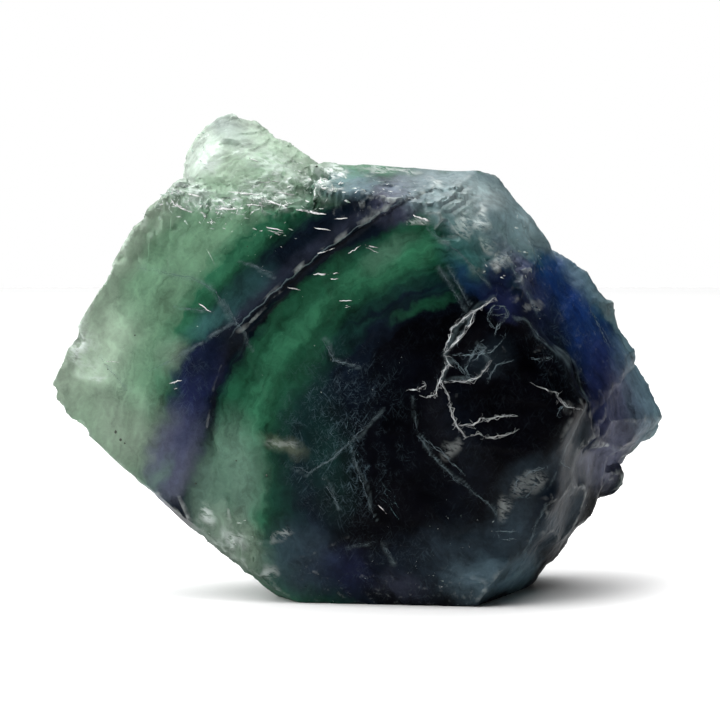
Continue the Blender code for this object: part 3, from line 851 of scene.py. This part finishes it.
class FLUORITE_OT_stone(Operator):
    """Makes the stone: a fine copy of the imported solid, with the relief of its breaks and its growth zones"""
    bl_idname = "fluorite.stone"
    bl_label = "Stone"

    def execute(self, context):
        settings = context.scene.fluorite_stone
        stone = bpy.data.objects.new("rough_stone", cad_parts[NODE].data.copy())
        context.scene.collection.objects.link(stone)
        edit_all(stone, merge=True)
        guide = stone.copy()
        guide.data = stone.data.copy()
        context.scene.collection.objects.link(guide)
        remesh = stone.modifiers.new("fine mesh", "REMESH")
        remesh.mode = "VOXEL"
        remesh.voxel_size = settings.grain
        apply_all(stone)
        split_front(stone)
        fit = stone.modifiers.new("back on the solid", "SHRINKWRAP")
        fit.target = guide
        apply_all(stone)
        bpy.data.objects.remove(guide)
        soften_edges(stone)
        add_relief(stone, settings)
        write_attributes(stone)
        only(stone)
        bpy.ops.object.shade_smooth_by_angle(angle=settings.corner_angle)
        hand_over(stone, "rough_stone", fluorite_material(context.scene.fluorite_colours))
        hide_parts(NODE)
        return {"FINISHED"}


# ---------------------------------------------------------------- cracks, fibres and flakes on the breaks

# The healed cracks on the raised plate and round it: how wide, then places (x, z) along each.
BRIGHT_WEB = [
    (0.26, [(15.5, 36.0), (13.0, 34.5), (11.5, 33.5), (10.5, 32.5), (9.5, 29.5)]),
    (0.24, [(13.0, 34.5), (12.5, 33.0), (11.0, 31.0), (9.5, 29.5)]),
    (0.22, [(9.5, 29.5), (10.0, 28.5), (9.0, 26.5), (8.5, 24.5)]),
    (0.16, [(9.0, 26.5), (10.0, 25.0), (10.5, 22.5), (11.0, 21.5), (12.0, 20.0)]),
    (0.16, [(11.0, 21.5), (13.0, 21.5), (14.0, 22.5), (14.5, 22.0), (16.0, 22.5), (18.0, 22.5)]),
    (0.14, [(12.0, 20.0), (13.5, 20.5), (14.5, 20.0), (17.5, 20.5)]),
    (0.2, [(5.5, 25.5), (6.5, 25.5), (7.5, 26.0)]),
    (0.18, [(7.5, 24.5), (8.5, 25.0)]),
    (0.14, [(9.5, 26.5), (12.0, 26.5), (13.5, 27.0), (15.0, 29.0)]),
    (0.12, [(20.0, 26.0), (22.5, 25.0), (23.5, 23.5), (25.5, 23.0)]),
]
FAINT_WEB = [
    (0.12, [(10.5, 29.5), (13.0, 29.5), (15.0, 30.0), (16.5, 31.5)]),
    (0.12, [(12.5, 26.5), (12.0, 28.0), (13.0, 30.0), (13.5, 31.0)]),
    (0.1, [(12.5, 28.5), (13.5, 29.5), (14.5, 30.5), (13.0, 30.5)]),
    (0.1, [(10.5, 29.0), (12.0, 27.5)]),
    (0.12, [(14.5, 26.5), (15.5, 28.5), (17.5, 29.0)]),
    (0.1, [(19.5, 29.0), (22.0, 29.0)]),
    (0.12, [(15.0, 31.0), (15.5, 32.5), (17.0, 34.0)]),
    (0.12, [(15.5, 32.5), (14.5, 33.5), (15.0, 35.0), (16.5, 35.0), (17.0, 34.0), (15.0, 34.0)]),
    (0.1, [(23.5, 24.0), (22.5, 22.5)]),
    (0.12, [(17.5, 13.5), (18.0, 15.0), (19.5, 16.0), (21.5, 16.5)]),
    (0.1, [(19.0, 13.0), (20.5, 15.0)]),
    (0.1, [(15.5, 9.0), (18.0, 9.0)]),
    (0.1, [(16.0, 8.0), (18.0, 8.0)]),
    (0.1, [(7.0, 20.0), (9.5, 18.0), (12.0, 15.5)]),
]

# Long straight level lines where a cleavage step catches the light: how wide, then both ends (x, z).
STEP_GLINTS = [
    (0.34, (-7.5, 47.5), (-4.0, 47.0)), (0.34, (-7.5, 46.0), (-4.0, 45.5)),
    (0.24, (-11.0, 47.0), (-8.5, 46.0)), (0.2, (-10.5, 48.0), (-7.5, 47.5)),
    (0.26, (-4.5, 49.5), (-2.0, 49.0)), (0.16, (-3.0, 45.0), (-1.5, 45.0)),
    (0.16, (-5.5, 44.0), (-3.5, 43.5)), (0.24, (-5.5, 38.5), (-2.5, 38.5)),
    (0.18, (-8.5, 37.0), (-7.0, 36.5)), (0.2, (-5.0, 41.0), (-3.0, 41.5)), (0.14, (-1.5, 41.0), (0.0, 42.0)),
    (0.14, (0.5, 42.0), (2.0, 41.5)), (0.14, (-11.0, 44.0), (-9.0, 43.5)),
    (0.26, (-22.0, 46.5), (-19.5, 45.5)), (0.22, (-21.0, 48.0), (-18.5, 47.5)),
    (0.26, (-17.0, 46.0), (-14.0, 46.0)), (0.22, (-15.5, 48.0), (-12.0, 47.5)),
    (0.2, (-13.5, 46.5), (-11.0, 46.5)), (0.16, (-13.5, 52.0), (-12.0, 51.5)),
    (0.16, (-12.5, 49.0), (-9.5, 49.0)), (0.3, (6.0, 45.5), (8.0, 44.5)),
    (0.14, (-19.0, 35.0), (-17.5, 34.0)), (0.14, (-22.5, 25.5), (-21.0, 26.0)),
    (0.12, (-30.5, 28.0), (-28.5, 28.0)), (0.12, (2.0, 12.0), (3.0, 11.0)),
    (0.12, (-2.5, 35.5), (-1.0, 35.5)),
]

# Brushes of fine fibres: centre (x, z), half sizes, how many, length, direction in degrees and its spread.
FIBRE_BRUSHES = [
    ((-1.8, 19.4), (2.4, 1.8), 14, 3.4, 62, 16), ((-0.8, 18.6), (1.8, 1.6), 10, 3.0, 118, 14),
    ((-1.8, 27.9), (1.4, 1.0), 16, 1.8, 60, 50), ((0.6, 23.0), (2.0, 1.6), 10, 2.2, 40, 40),
    ((-5.4, 16.2), (1.6, 1.4), 8, 2.2, 30, 20), ((3.2, 12.6), (2.6, 2.4), 10, 2.4, 118, 20),
    ((17.0, 12.0), (2.2, 1.6), 14, 1.2, 40, 60),
]

# Heaps of small loose-edged flakes, painted white in patches as glints: centre (x, z), half sizes, how many and
# how large.
FLAKE_HEAPS = [
    ((-21.5, 46.6), (3.0, 1.8), 60, 1.2), ((-16.0, 46.0), (4.5, 1.3), 80, 1.1),
    ((-10.5, 46.8), (4.0, 1.0), 70, 1.1), ((-14.0, 44.0), (5.0, 1.0), 22, 0.8),
    ((-18.8, 53.2), (1.4, 2.4), 30, 0.9), ((-4.6, 48.4), (3.6, 1.0), 50, 1.1),
    ((4.0, 48.4), (5.0, 1.0), 30, 0.7), ((-8.0, 50.6), (3.2, 1.6), 26, 0.8),
    ((-12.0, 42.0), (8.0, 5.0), 20, 0.45), ((19.5, 41.5), (3.6, 3.6), 40, 0.8),
    ((20.5, 34.5), (1.5, 1.0), 12, 0.5), ((2.0, 4.0), (14.0, 4.0), 50, 0.35),
    ((10.0, 9.0), (10.0, 5.0), 60, 0.35), ((-2.0, 30.0), (8.0, 8.0), 36, 0.3),
    ((-22.0, 28.0), (9.0, 8.0), 26, 0.35), ((-15.0, 7.0), (4.0, 3.0), 26, 0.7),
    ((28.0, 12.0), (3.0, 8.0), 20, 0.4),
]
# How deep the foot of a flake is sunk in the stone, in mm.
FLAKE_SINK = 0.03


# The broad side is searched from this depth, in front of the stone.
RAY_START = -60.0


def stone_tree(context):
    """A search tree of the finished stone."""
    stone = context.scene.objects["rough_stone"]
    faces = [face.vertices[:] for face in stone.data.polygons]
    return BVHTree.FromPolygons([vertex.co for vertex in stone.data.vertices], faces)


def on_face(tree, x, z):
    """The place and the normal on the broad side at (x, z), in millimetres across, or None past the edge."""
    start = Vector((x, RAY_START, z)) * MM
    place, normal, _, _ = tree.ray_cast(start, Vector((0.0, 1.0, 0.0)))
    return (place, normal) if place else None


# A thread never spans more mm than this in one step, so it doesn't cross from a rim to what lies behind.
THREAD_GAP = 1.2
# A thread has at least this many places.
SHORTEST_THREAD = 3
# The threads of one crack: each one's share of the crack's width, and how far it wanders, in mm.
CRACK_STRANDS = [(0.44, 0.07), (0.3, 0.14), (0.2, 0.24)]
CRACK_SPACING = 0.36
# A fine thread runs in each soft pale line, and this is its share of the line's half width.
LINE_THREAD_SHARE = 0.2
# A twig's share of its crack's width.
TWIG_SHARE = 0.18
# How far apart the places of a thread are, and how far it wanders, in mm.
TWIG_WALK = (0.25, 0.08)
FIBRE_WALK = (0.45, 0.04)
GLINT_WALK = (0.3, 0.04)
# How proud of the stone cracks and glints lie, in mm.
THREAD_LIFT = 0.02


def follow(tree, route, spacing, wander, lift, rng):
    """Points on the stone along a route, wandering like a real break, a little proud of the surface."""
    flat = []
    for (x0, z0), (x1, z1) in zip(route, route[1:]):
        count = max(2, round(math.hypot(x1 - x0, z1 - z0) / spacing))
        flat += [(x0 + (x1 - x0) * i / count, z0 + (z1 - z0) * i / count) for i in range(count)]
    flat.append(route[-1])
    places = []
    for i, (x, z) in enumerate(flat):
        free = wander if 0 < i < len(flat) - 1 else 0.0
        found = on_face(tree, x + rng.gauss(0, free), z + rng.gauss(0, free))
        if found:
            place = found[0] + found[1] * lift * MM
            if not places or (place - places[-1]).length < THREAD_GAP * MM:
                places.append(place)
    return places


def threads(name, lines, rng, material):
    """One closed mesh of thin tapered threads: each line is its places and its width in millimetres."""
    curve = bpy.data.curves.new(name, "CURVE")
    curve.dimensions = "3D"
    curve.bevel_depth = MM / 2
    curve.bevel_resolution = 1
    curve.use_fill_caps = True
    for places, width in lines:
        if len(places) < SHORTEST_THREAD:
            continue
        spline = curve.splines.new("POLY")
        spline.points.add(len(places) - 1)
        for i, (point, place) in enumerate(zip(spline.points, places)):
            point.co = (*place, 1.0)
            ends = min(i, len(places) - 1 - i) / max(1, (len(places) - 1) / 2)
            point.radius = width * (0.25 + 0.75 * min(1.0, ends * 2)) * rng.uniform(0.7, 1.1)
    piece = bpy.data.objects.new(name, curve)
    bpy.context.scene.collection.objects.link(piece)
    only(piece)
    bpy.ops.object.convert(target="MESH")
    edit_all(bpy.context.object, merge=True, outward=True)
    hand_over(bpy.context.object, name, material)


def crack_and_glint_material(name, colour, low, high):
    """A healed crack, white from tiny air films that come and go along it; the same white threads also make
    the painted glints on the cleavage steps.
    """
    material, dress, node, mm = new_material(name)
    film = noise_mask(node, {"Vector": mm, "Scale": 0.9, "Detail": 5.0}, low, high)
    shade = noise_mask(node, {"Vector": mm, "Scale": 0.6}, 0.0, 1.0, 0.3, 1.2)
    tint = node("VectorMath", {0: linear(colour)[:3], "Scale": shade}, operation="SCALE")
    dress({"Base Color": tint, "Alpha": film, "Roughness": 0.45})
    return material


class FLUORITE_OT_cracks(Operator):
    """Makes the bright cracks on and round the raised plate, and the faint ones all over the broad face"""
    bl_idname = "fluorite.cracks"
    bl_label = "Crack webs"

    def execute(self, context):
        rng = random.Random(3)
        tree = stone_tree(context)
        fine = [(half_width * LINE_THREAD_SHARE, route) for _, half_width, route in PALE_LINES]
        webs = [("bright_crack_web", BRIGHT_WEB, BRIGHT_CRACK),
                ("faint_crack_web", FAINT_WEB + fine, FAINT_CRACK)]
        for name, web, colour in webs:
            lines = []
            for width, route in web:
                for share, wander in CRACK_STRANDS:
                    places = follow(tree, route, CRACK_SPACING, wander, THREAD_LIFT, rng)
                    lines.append((places, width * share))
                for _ in range(len(route)):
                    x, z = rng.choice(route)
                    angle = rng.uniform(0, math.tau)
                    reach = rng.uniform(0.3, 1.0)
                    twig = [(x, z), (x + reach * math.cos(angle), z + reach * math.sin(angle))]
                    places = follow(tree, twig, *TWIG_WALK, THREAD_LIFT, rng)
                    lines.append((places, width * TWIG_SHARE))
            threads(name, lines, rng, crack_and_glint_material(f"healed_{name}", colour, 0.32, 0.56))
        return {"FINISHED"}


class FLUORITE_OT_fibres(Operator):
    """Makes the brushes of fine fibres in the dark middle of the broad face"""
    bl_idname = "fluorite.fibres"
    bl_label = "Fibres"

    def execute(self, context):
        rng = random.Random(5)
        tree = stone_tree(context)
        lines = []
        for (x, z), (half_x, half_z), count, reach, direction, spread in FIBRE_BRUSHES:
            for _ in range(count):
                middle = (rng.gauss(x, half_x * 0.5), rng.gauss(z, half_z * 0.5))
                angle = math.radians(rng.gauss(direction, spread))
                half = rng.uniform(0.3, 1.0) * reach / 2
                bow = rng.gauss(0, 0.12) * half
                ends = [(middle[0] + side * half * math.cos(angle), middle[1] + side * half * math.sin(angle))
                        for side in (-1, 1)]
                bend = (middle[0] - bow * math.sin(angle), middle[1] + bow * math.cos(angle))
                places = follow(tree, [ends[0], bend, ends[1]], *FIBRE_WALK, 0.0, rng)
                if len(places) >= SHORTEST_THREAD:
                    lines.append((places, rng.uniform(0.03, 0.08)))
        threads("fibre_brushes", lines, rng, crack_and_glint_material("healed_crack_teal", FIBRE_TEAL, 0.4, 0.66))
        return {"FINISHED"}


class FLUORITE_OT_glints(Operator):
    """Makes white threads along the level cleavage steps: painted glints where the steps catch the light"""
    bl_idname = "fluorite.glints"
    bl_label = "Step glints"

    def execute(self, context):
        rng = random.Random(8)
        tree = stone_tree(context)
        lines = []
        for width, start, end in STEP_GLINTS:
            span = (end[0] - start[0], end[1] - start[1])
            for i in range(rng.choice((1, 1, 2, 3))):
                first, last = (0.0, 1.0) if i == 0 else sorted((rng.uniform(0, 0.7), rng.uniform(0.4, 1.2)))
                down = i * rng.uniform(0.2, 0.6)
                tilt = rng.uniform(-0.2, 0.2)
                route = [(start[0] + span[0] * part, start[1] + span[1] * part - down + tilt * part)
                         for part in (first, (first + last) / 2, last)]
                places = follow(tree, route, *GLINT_WALK, THREAD_LIFT, rng)
                lines.append((places, width * (0.9 if i == 0 else 0.35)))
        # Painted glints: the white of these threads stands for light caught by the steps.
        threads("step_glints", lines, rng, crack_and_glint_material("bright_cleavage_lip", WHITE, 0.34, 0.48))
        return {"FINISHED"}


def flake_material():
    """Small flakes still hanging on the break, thin, and painted white in patches: painted glints where they
    would catch the light.
    """
    material, dress, node, mm = new_material("cleavage_flake")
    shade = noise_mask(node, {"Vector": mm, "Scale": 2.4, "Detail": 2.0}, 0.42, 0.6)
    # Painted glints: noise turns patches of the flakes white.
    tint = node("Mix", {0: shade, 6: linear(FLAKE_SHADE), 7: linear(WHITE)}, out=2, data_type="RGBA")
    dress({"Base Color": tint, "Roughness": 0.3, "Transmission Weight": 0.3})
    return material


class FLUORITE_OT_flakes(Operator):
    """Makes the small flakes on the ledge and along the broken edges, painted white in patches as glints"""
    bl_idname = "fluorite.flakes"
    bl_label = "Flakes"

    def execute(self, context):
        rng = random.Random(13)
        tree = stone_tree(context)
        bpy.ops.object.select_all(action="DESELECT")
        bpy.ops.mesh.primitive_circle_add(vertices=4, radius=0.5, fill_type="NGON")
        model = context.object
        bpy.ops.object.mode_set(mode="EDIT")
        bpy.ops.mesh.select_all(action="SELECT")
        bpy.ops.mesh.extrude_region_move(TRANSFORM_OT_translate={"value": (0, 0, 0.3)})
        bpy.ops.transform.resize(value=(0.75, 0.2, 1.0))
        bpy.ops.transform.translate(value=(-0.1, 0.08, 0.0))
        bpy.ops.object.mode_set(mode="OBJECT")
        edit_all(model, outward=True)
        lattice = lattice_normals()
        heap = bmesh.new()
        for (x, z), (half_x, half_z), count, size in FLAKE_HEAPS:
            for _ in range(count):
                found = on_face(tree, rng.gauss(x, half_x * 0.55), rng.gauss(z, half_z * 0.55))
                if not found:
                    continue
                place, normal = found
                up = Vector(lattice[rng.choice((0, 0, 1, 2, 3))])
                up = (up if up.dot(normal) > 0 else -up) * 0.5 + normal * 0.6
                line = math.radians(rng.choice((-6, -6, -34, -60, 54)) + rng.gauss(0, 10))
                along = Vector((math.cos(line), 0.0, math.sin(line)))
                across = up.cross(along).normalized()
                along = across.cross(up).normalized()
                turn = Matrix((along, across, up.normalized())).transposed().to_4x4()
                long_side = size * rng.uniform(0.3, 1.3) * MM
                wide = long_side * rng.uniform(0.12, 0.35)
                shape = Matrix.Diagonal((long_side, wide, wide * rng.uniform(0.4, 0.9), 1.0))
                before = len(heap.verts)
                heap.from_mesh(model.data)
                heap.verts.ensure_lookup_table()
                place = Matrix.Translation(place - normal * FLAKE_SINK * MM)
                for vertex in heap.verts[before:]:
                    vertex.co = place @ turn @ shape @ vertex.co
        mesh = bpy.data.meshes.new("cleavage_flakes")
        heap.to_mesh(mesh)
        heap.free()
        bpy.data.objects.remove(model)
        flakes = bpy.data.objects.new("cleavage_flakes", mesh)
        context.scene.collection.objects.link(flakes)
        hand_over(flakes, "cleavage_flakes", flake_material())
        return {"FINISHED"}


# Fracture veils sealed inside: centre in mm, long and short half sizes, lattice plane and spin in degrees.
VEILS = [
    ((-26.0, -3.0, 30.0), 4.0, 2.4, 1, 20), ((-22.0, -4.0, 36.0), 3.6, 2.2, 2, 65),
    ((-18.0, -5.5, 40.0), 3.4, 2.2, 3, 10), ((-27.0, 0.0, 25.0), 3.2, 2.2, 2, 40),
    ((-13.0, 0.0, 50.0), 2.8, 1.8, 1, 0), ((-11.0, -2.0, 48.0), 2.8, 1.6, 3, 35),
    ((-15.0, -4.0, 15.0), 3.4, 2.0, 3, 75), ((-13.0, -5.0, 22.0), 3.4, 2.0, 1, 50),
    ((2.0, -5.0, 39.0), 3.4, 1.8, 2, 15), ((-20.0, 3.0, 31.0), 4.0, 3.0, 1, 80),
    ((-16.0, 4.0, 38.0), 3.6, 2.6, 3, 25), ((12.0, -3.0, 43.0), 3.0, 2.0, 1, 60),
]
# The film's thickness, as a share of its half size.
VEIL_FILM = 0.006

# Dark specks on the pale side: where (x, z) and how wide.
SPECKS = [
    ((-29.0, 19.6), 0.42), ((-28.4, 18.7), 0.36), ((-27.9, 18.3), 0.22), ((-29.9, 27.0), 0.2),
    ((-26.6, 31.1), 0.18), ((-13.2, 41.7), 0.2), ((-19.4, 13.8), 0.2), ((-5.2, 50.9), 0.3),
    ((-11.0, 15.0), 0.24), ((-14.6, 16.6), 0.2),
]


def veil_material():
    """A healed fracture: a film of tiny bubbles, white in patches and gone at its edges."""
    material, dress, node, mm = new_material("healed_fracture_veil")
    bubbles = {"Vector": mm, "Scale": 0.8, "Detail": 6.0, "Roughness": 0.65}
    film = noise_mask(node, bubbles, 0.42, 0.66, 0.0, 0.8)
    middle = node("Attribute", out="Fac", attribute_name="middle")
    film = node("Math", [film, middle], operation="MULTIPLY")
    dress({"Base Color": linear(VEIL_WHITE), "Roughness": 0.5, "Alpha": film})
    return material


class FLUORITE_OT_veils(Operator):
    """Makes the curved veils of healed fractures that are sealed inside the stone"""
    bl_idname = "fluorite.veils"
    bl_label = "Veils"

    def execute(self, context):
        bpy.ops.object.select_all(action="DESELECT")
        bpy.ops.mesh.primitive_grid_add(x_subdivisions=20, y_subdivisions=14, size=2.0)
        model = context.object
        points = np.empty(len(model.data.vertices) * 3, np.float32)
        model.data.vertices.foreach_get("co", points)
        points = points.reshape(-1, 3)
        square = np.abs(points[:, :2]).max(axis=1)
        length = np.maximum(np.linalg.norm(points[:, :2], axis=1), 1e-6)
        points[:, :2] *= (square / length)[:, None]
        points[:, 2] = 0.12 * points[:, 0] ** 2 + 0.03 * soft_noise(points.astype(float), 0.5, 51)
        model.data.vertices.foreach_set("co", points.ravel())
        middle = model.data.attributes.new("middle", "FLOAT", "POINT")
        middle.data.foreach_set("value", (1 - smooth_step(square, 0.45, 0.97)).astype(np.float32))
        wall = model.modifiers.new("film", "SOLIDIFY")
        wall.thickness = VEIL_FILM
        apply_all(model)
        lattice = lattice_normals()
        veils = []
        for centre, long_side, short_side, plane, spin in VEILS:
            veil = model.copy()
            veil.data = model.data.copy()
            context.scene.collection.objects.link(veil)
            turn = Vector(lattice[plane]).to_track_quat("Z", "Y").to_matrix().to_4x4()
            shape = Matrix.Diagonal((long_side * MM, short_side * MM, long_side * MM, 1.0))
            spin = Matrix.Rotation(math.radians(spin), 4, "Z")
            veil.data.transform(Matrix.Translation(Vector(centre) * MM) @ turn @ spin @ shape)
            veils.append(veil)
        bpy.data.objects.remove(model)
        hand_over(joined(veils), "sealed_veils", veil_material())
        return {"FINISHED"}


class FLUORITE_OT_specks(Operator):
    """Makes the few dark grains that are stuck in the pale side"""
    bl_idname = "fluorite.specks"
    bl_label = "Dark specks"

    def execute(self, context):
        rng = random.Random(21)
        tree = stone_tree(context)
        specks = []
        for (x, z), size in SPECKS:
            place, _ = on_face(tree, x, z)
            bpy.ops.object.select_all(action="DESELECT")
            bpy.ops.mesh.primitive_ico_sphere_add(subdivisions=1, radius=size * MM / 2, location=place)
            speck = context.object
            shape = [rng.uniform(0.7, 1.3) for _ in range(3)]
            bpy.ops.object.mode_set(mode="EDIT")
            bpy.ops.transform.resize(value=shape)
            bpy.ops.object.mode_set(mode="OBJECT")
            bpy.ops.object.transform_apply(location=True, rotation=True, scale=True)
            specks.append(speck)
        grain = plain_material("dark_mineral_grain", SPECK_GREY, 0.6)
        hand_over(joined(specks), "dark_specks", grain)
        return {"FINISHED"}


# ---------------------------------------------------------------- stage

# The dark parts of the room: the middle of each, and how far from it the dark ends and the light begins.
DUSK_SIDES = [((0.62, -0.78, -0.1), 0.45, -0.3), ((0.88, 0.46, 0.1), 0.86, 0.35)]

# The lamps: name, place in metres, size in metres, and the setting that holds the power.
LAMPS = [("soft_window", (-0.26, -0.13, 0.42), 0.45, "window"),
         ("soft_top_light", (0.07, 0.09, 0.45), 0.50, "top_light")]
LAMP_AIM = (0.0, 0.0, 0.03)
# The floor's middle and size in metres, and its rounded edge.
FLOOR_MIDDLE = (0.0, 0.25, -0.003)
FLOOR_SIZE = (1.2, 0.70, 0.006)
FLOOR_EDGE = 0.002
# The camera's sensor in mm, and the nearest that it sees, in metres.
SENSOR_WIDTH = 36.0
NEAREST_SEEN = 0.01


def surroundings(scene, settings):
    """White all round, dark in front and to the right of the stone, and plain white behind it all."""
    world = bpy.data.worlds.new("studio")
    world.use_nodes = True
    scene.world = world
    node = partial(add_node, world.node_tree)
    way = node("TexCoord", out="Generated")
    dusk = settings.glow
    for middle, dark, light in DUSK_SIDES:
        side = node("VectorMath", [way, middle], out="Value", operation="DOT_PRODUCT")
        dusk = node("MapRange", {"Value": side, "From Min": light, "From Max": dark, "To Min": dusk,
                                 "To Max": settings.dusk}, interpolation_type="SMOOTHSTEP")
    seen = node("LightPath", out="Is Camera Ray")
    strength = node("Mix", {0: seen, 2: dusk, 3: 1.0}, data_type="FLOAT")
    background = world.node_tree.nodes["Background"]
    feed(world.node_tree, background, {"Color": linear(WHITE), "Strength": strength})


def soft_lamp(name, place, size, power):
    """A round lamp with a soft edge, aimed at the stone."""
    bpy.ops.object.select_all(action="DESELECT")
    bpy.ops.object.light_add(type="AREA", location=place)
    lamp = bpy.context.object
    lamp.name = name
    lamp.data.shape = "DISK"
    lamp.data.size = size
    lamp.data.energy = power
    lamp.rotation_euler = (Vector(LAMP_AIM) - lamp.location).to_track_quat("-Z", "Y").to_euler()


class FLUORITE_OT_stage(Operator):
    """Makes the plain white floor, the soft light and the camera"""
    bl_idname = "fluorite.stage"
    bl_label = "Stage"

    def execute(self, context):
        settings = context.scene.fluorite_stage
        bpy.ops.object.select_all(action="DESELECT")
        bpy.ops.mesh.primitive_cube_add(size=1.0, location=FLOOR_MIDDLE, scale=FLOOR_SIZE)
        floor = context.object
        floor.name = "white_floor"
        bpy.ops.object.transform_apply(location=True, rotation=True, scale=True)
        bevel = floor.modifiers.new("soft edge", "BEVEL")
        bevel.width = FLOOR_EDGE
        bevel.segments = 3
        apply_all(floor)
        floor.data.materials.append(plain_material("matt_pale_board", BOARD_GREY, 0.9))

        surroundings(context.scene, settings)
        context.scene.view_settings.view_transform = "Standard"
        for name, place, size, power in LAMPS:
            soft_lamp(name, place, size, getattr(settings, power))

        target = Vector(settings.target)
        away = Vector((0.0, -math.cos(settings.elevation), math.sin(settings.elevation)))
        bpy.ops.object.select_all(action="DESELECT")
        bpy.ops.object.camera_add(location=target + away * settings.distance,
                                  rotation=(math.pi / 2 - settings.elevation, 0.0, 0.0))
        camera = context.object
        camera.name = "main_camera"
        camera.data.lens = settings.lens
        camera.data.sensor_width = SENSOR_WIDTH
        camera.data.clip_start = NEAREST_SEEN
        context.scene.camera = camera
        return {"FINISHED"}


# ---------------------------------------------------------------- panel and registration

class FLUORITE_PT_panel(Panel):
    """Lists the pieces and the settings in the sidebar"""
    bl_label = "Zoned fluorite"
    bl_idname = "FLUORITE_PT_panel"
    bl_space_type = "VIEW_3D"
    bl_region_type = "UI"
    bl_category = "Fluorite"

    def draw(self, context):
        for name, group in SETTINGS.items():
            box = self.layout.box()
            for setting in group.__annotations__:
                box.prop(getattr(context.scene, name), setting)
        for operator in OPERATORS:
            self.layout.operator(operator.bl_idname)


SETTINGS = {"fluorite_stone": StoneSettings, "fluorite_colours": StoneColours,
            "fluorite_stage": StageSettings}
OPERATORS = [FLUORITE_OT_stone, FLUORITE_OT_cracks, FLUORITE_OT_fibres, FLUORITE_OT_glints,
             FLUORITE_OT_flakes, FLUORITE_OT_veils, FLUORITE_OT_specks, FLUORITE_OT_stage]


def register():
    for name, group in SETTINGS.items():
        bpy.utils.register_class(group)
        setattr(bpy.types.Scene, name, PointerProperty(type=group))
    for cls in [*OPERATORS, FLUORITE_PT_panel]:
        bpy.utils.register_class(cls)


def unregister():
    for cls in [FLUORITE_PT_panel, *OPERATORS]:
        bpy.utils.unregister_class(cls)
    for name, group in SETTINGS.items():
        delattr(bpy.types.Scene, name)
        bpy.utils.unregister_class(group)


def main():
    register()
    bpy.ops.fluorite.stone()
    bpy.ops.fluorite.cracks()
    bpy.ops.fluorite.fibres()
    bpy.ops.fluorite.glints()
    bpy.ops.fluorite.flakes()
    bpy.ops.fluorite.veils()
    bpy.ops.fluorite.specks()
    bpy.ops.fluorite.stage()


if __name__ == "__main__":
    main()
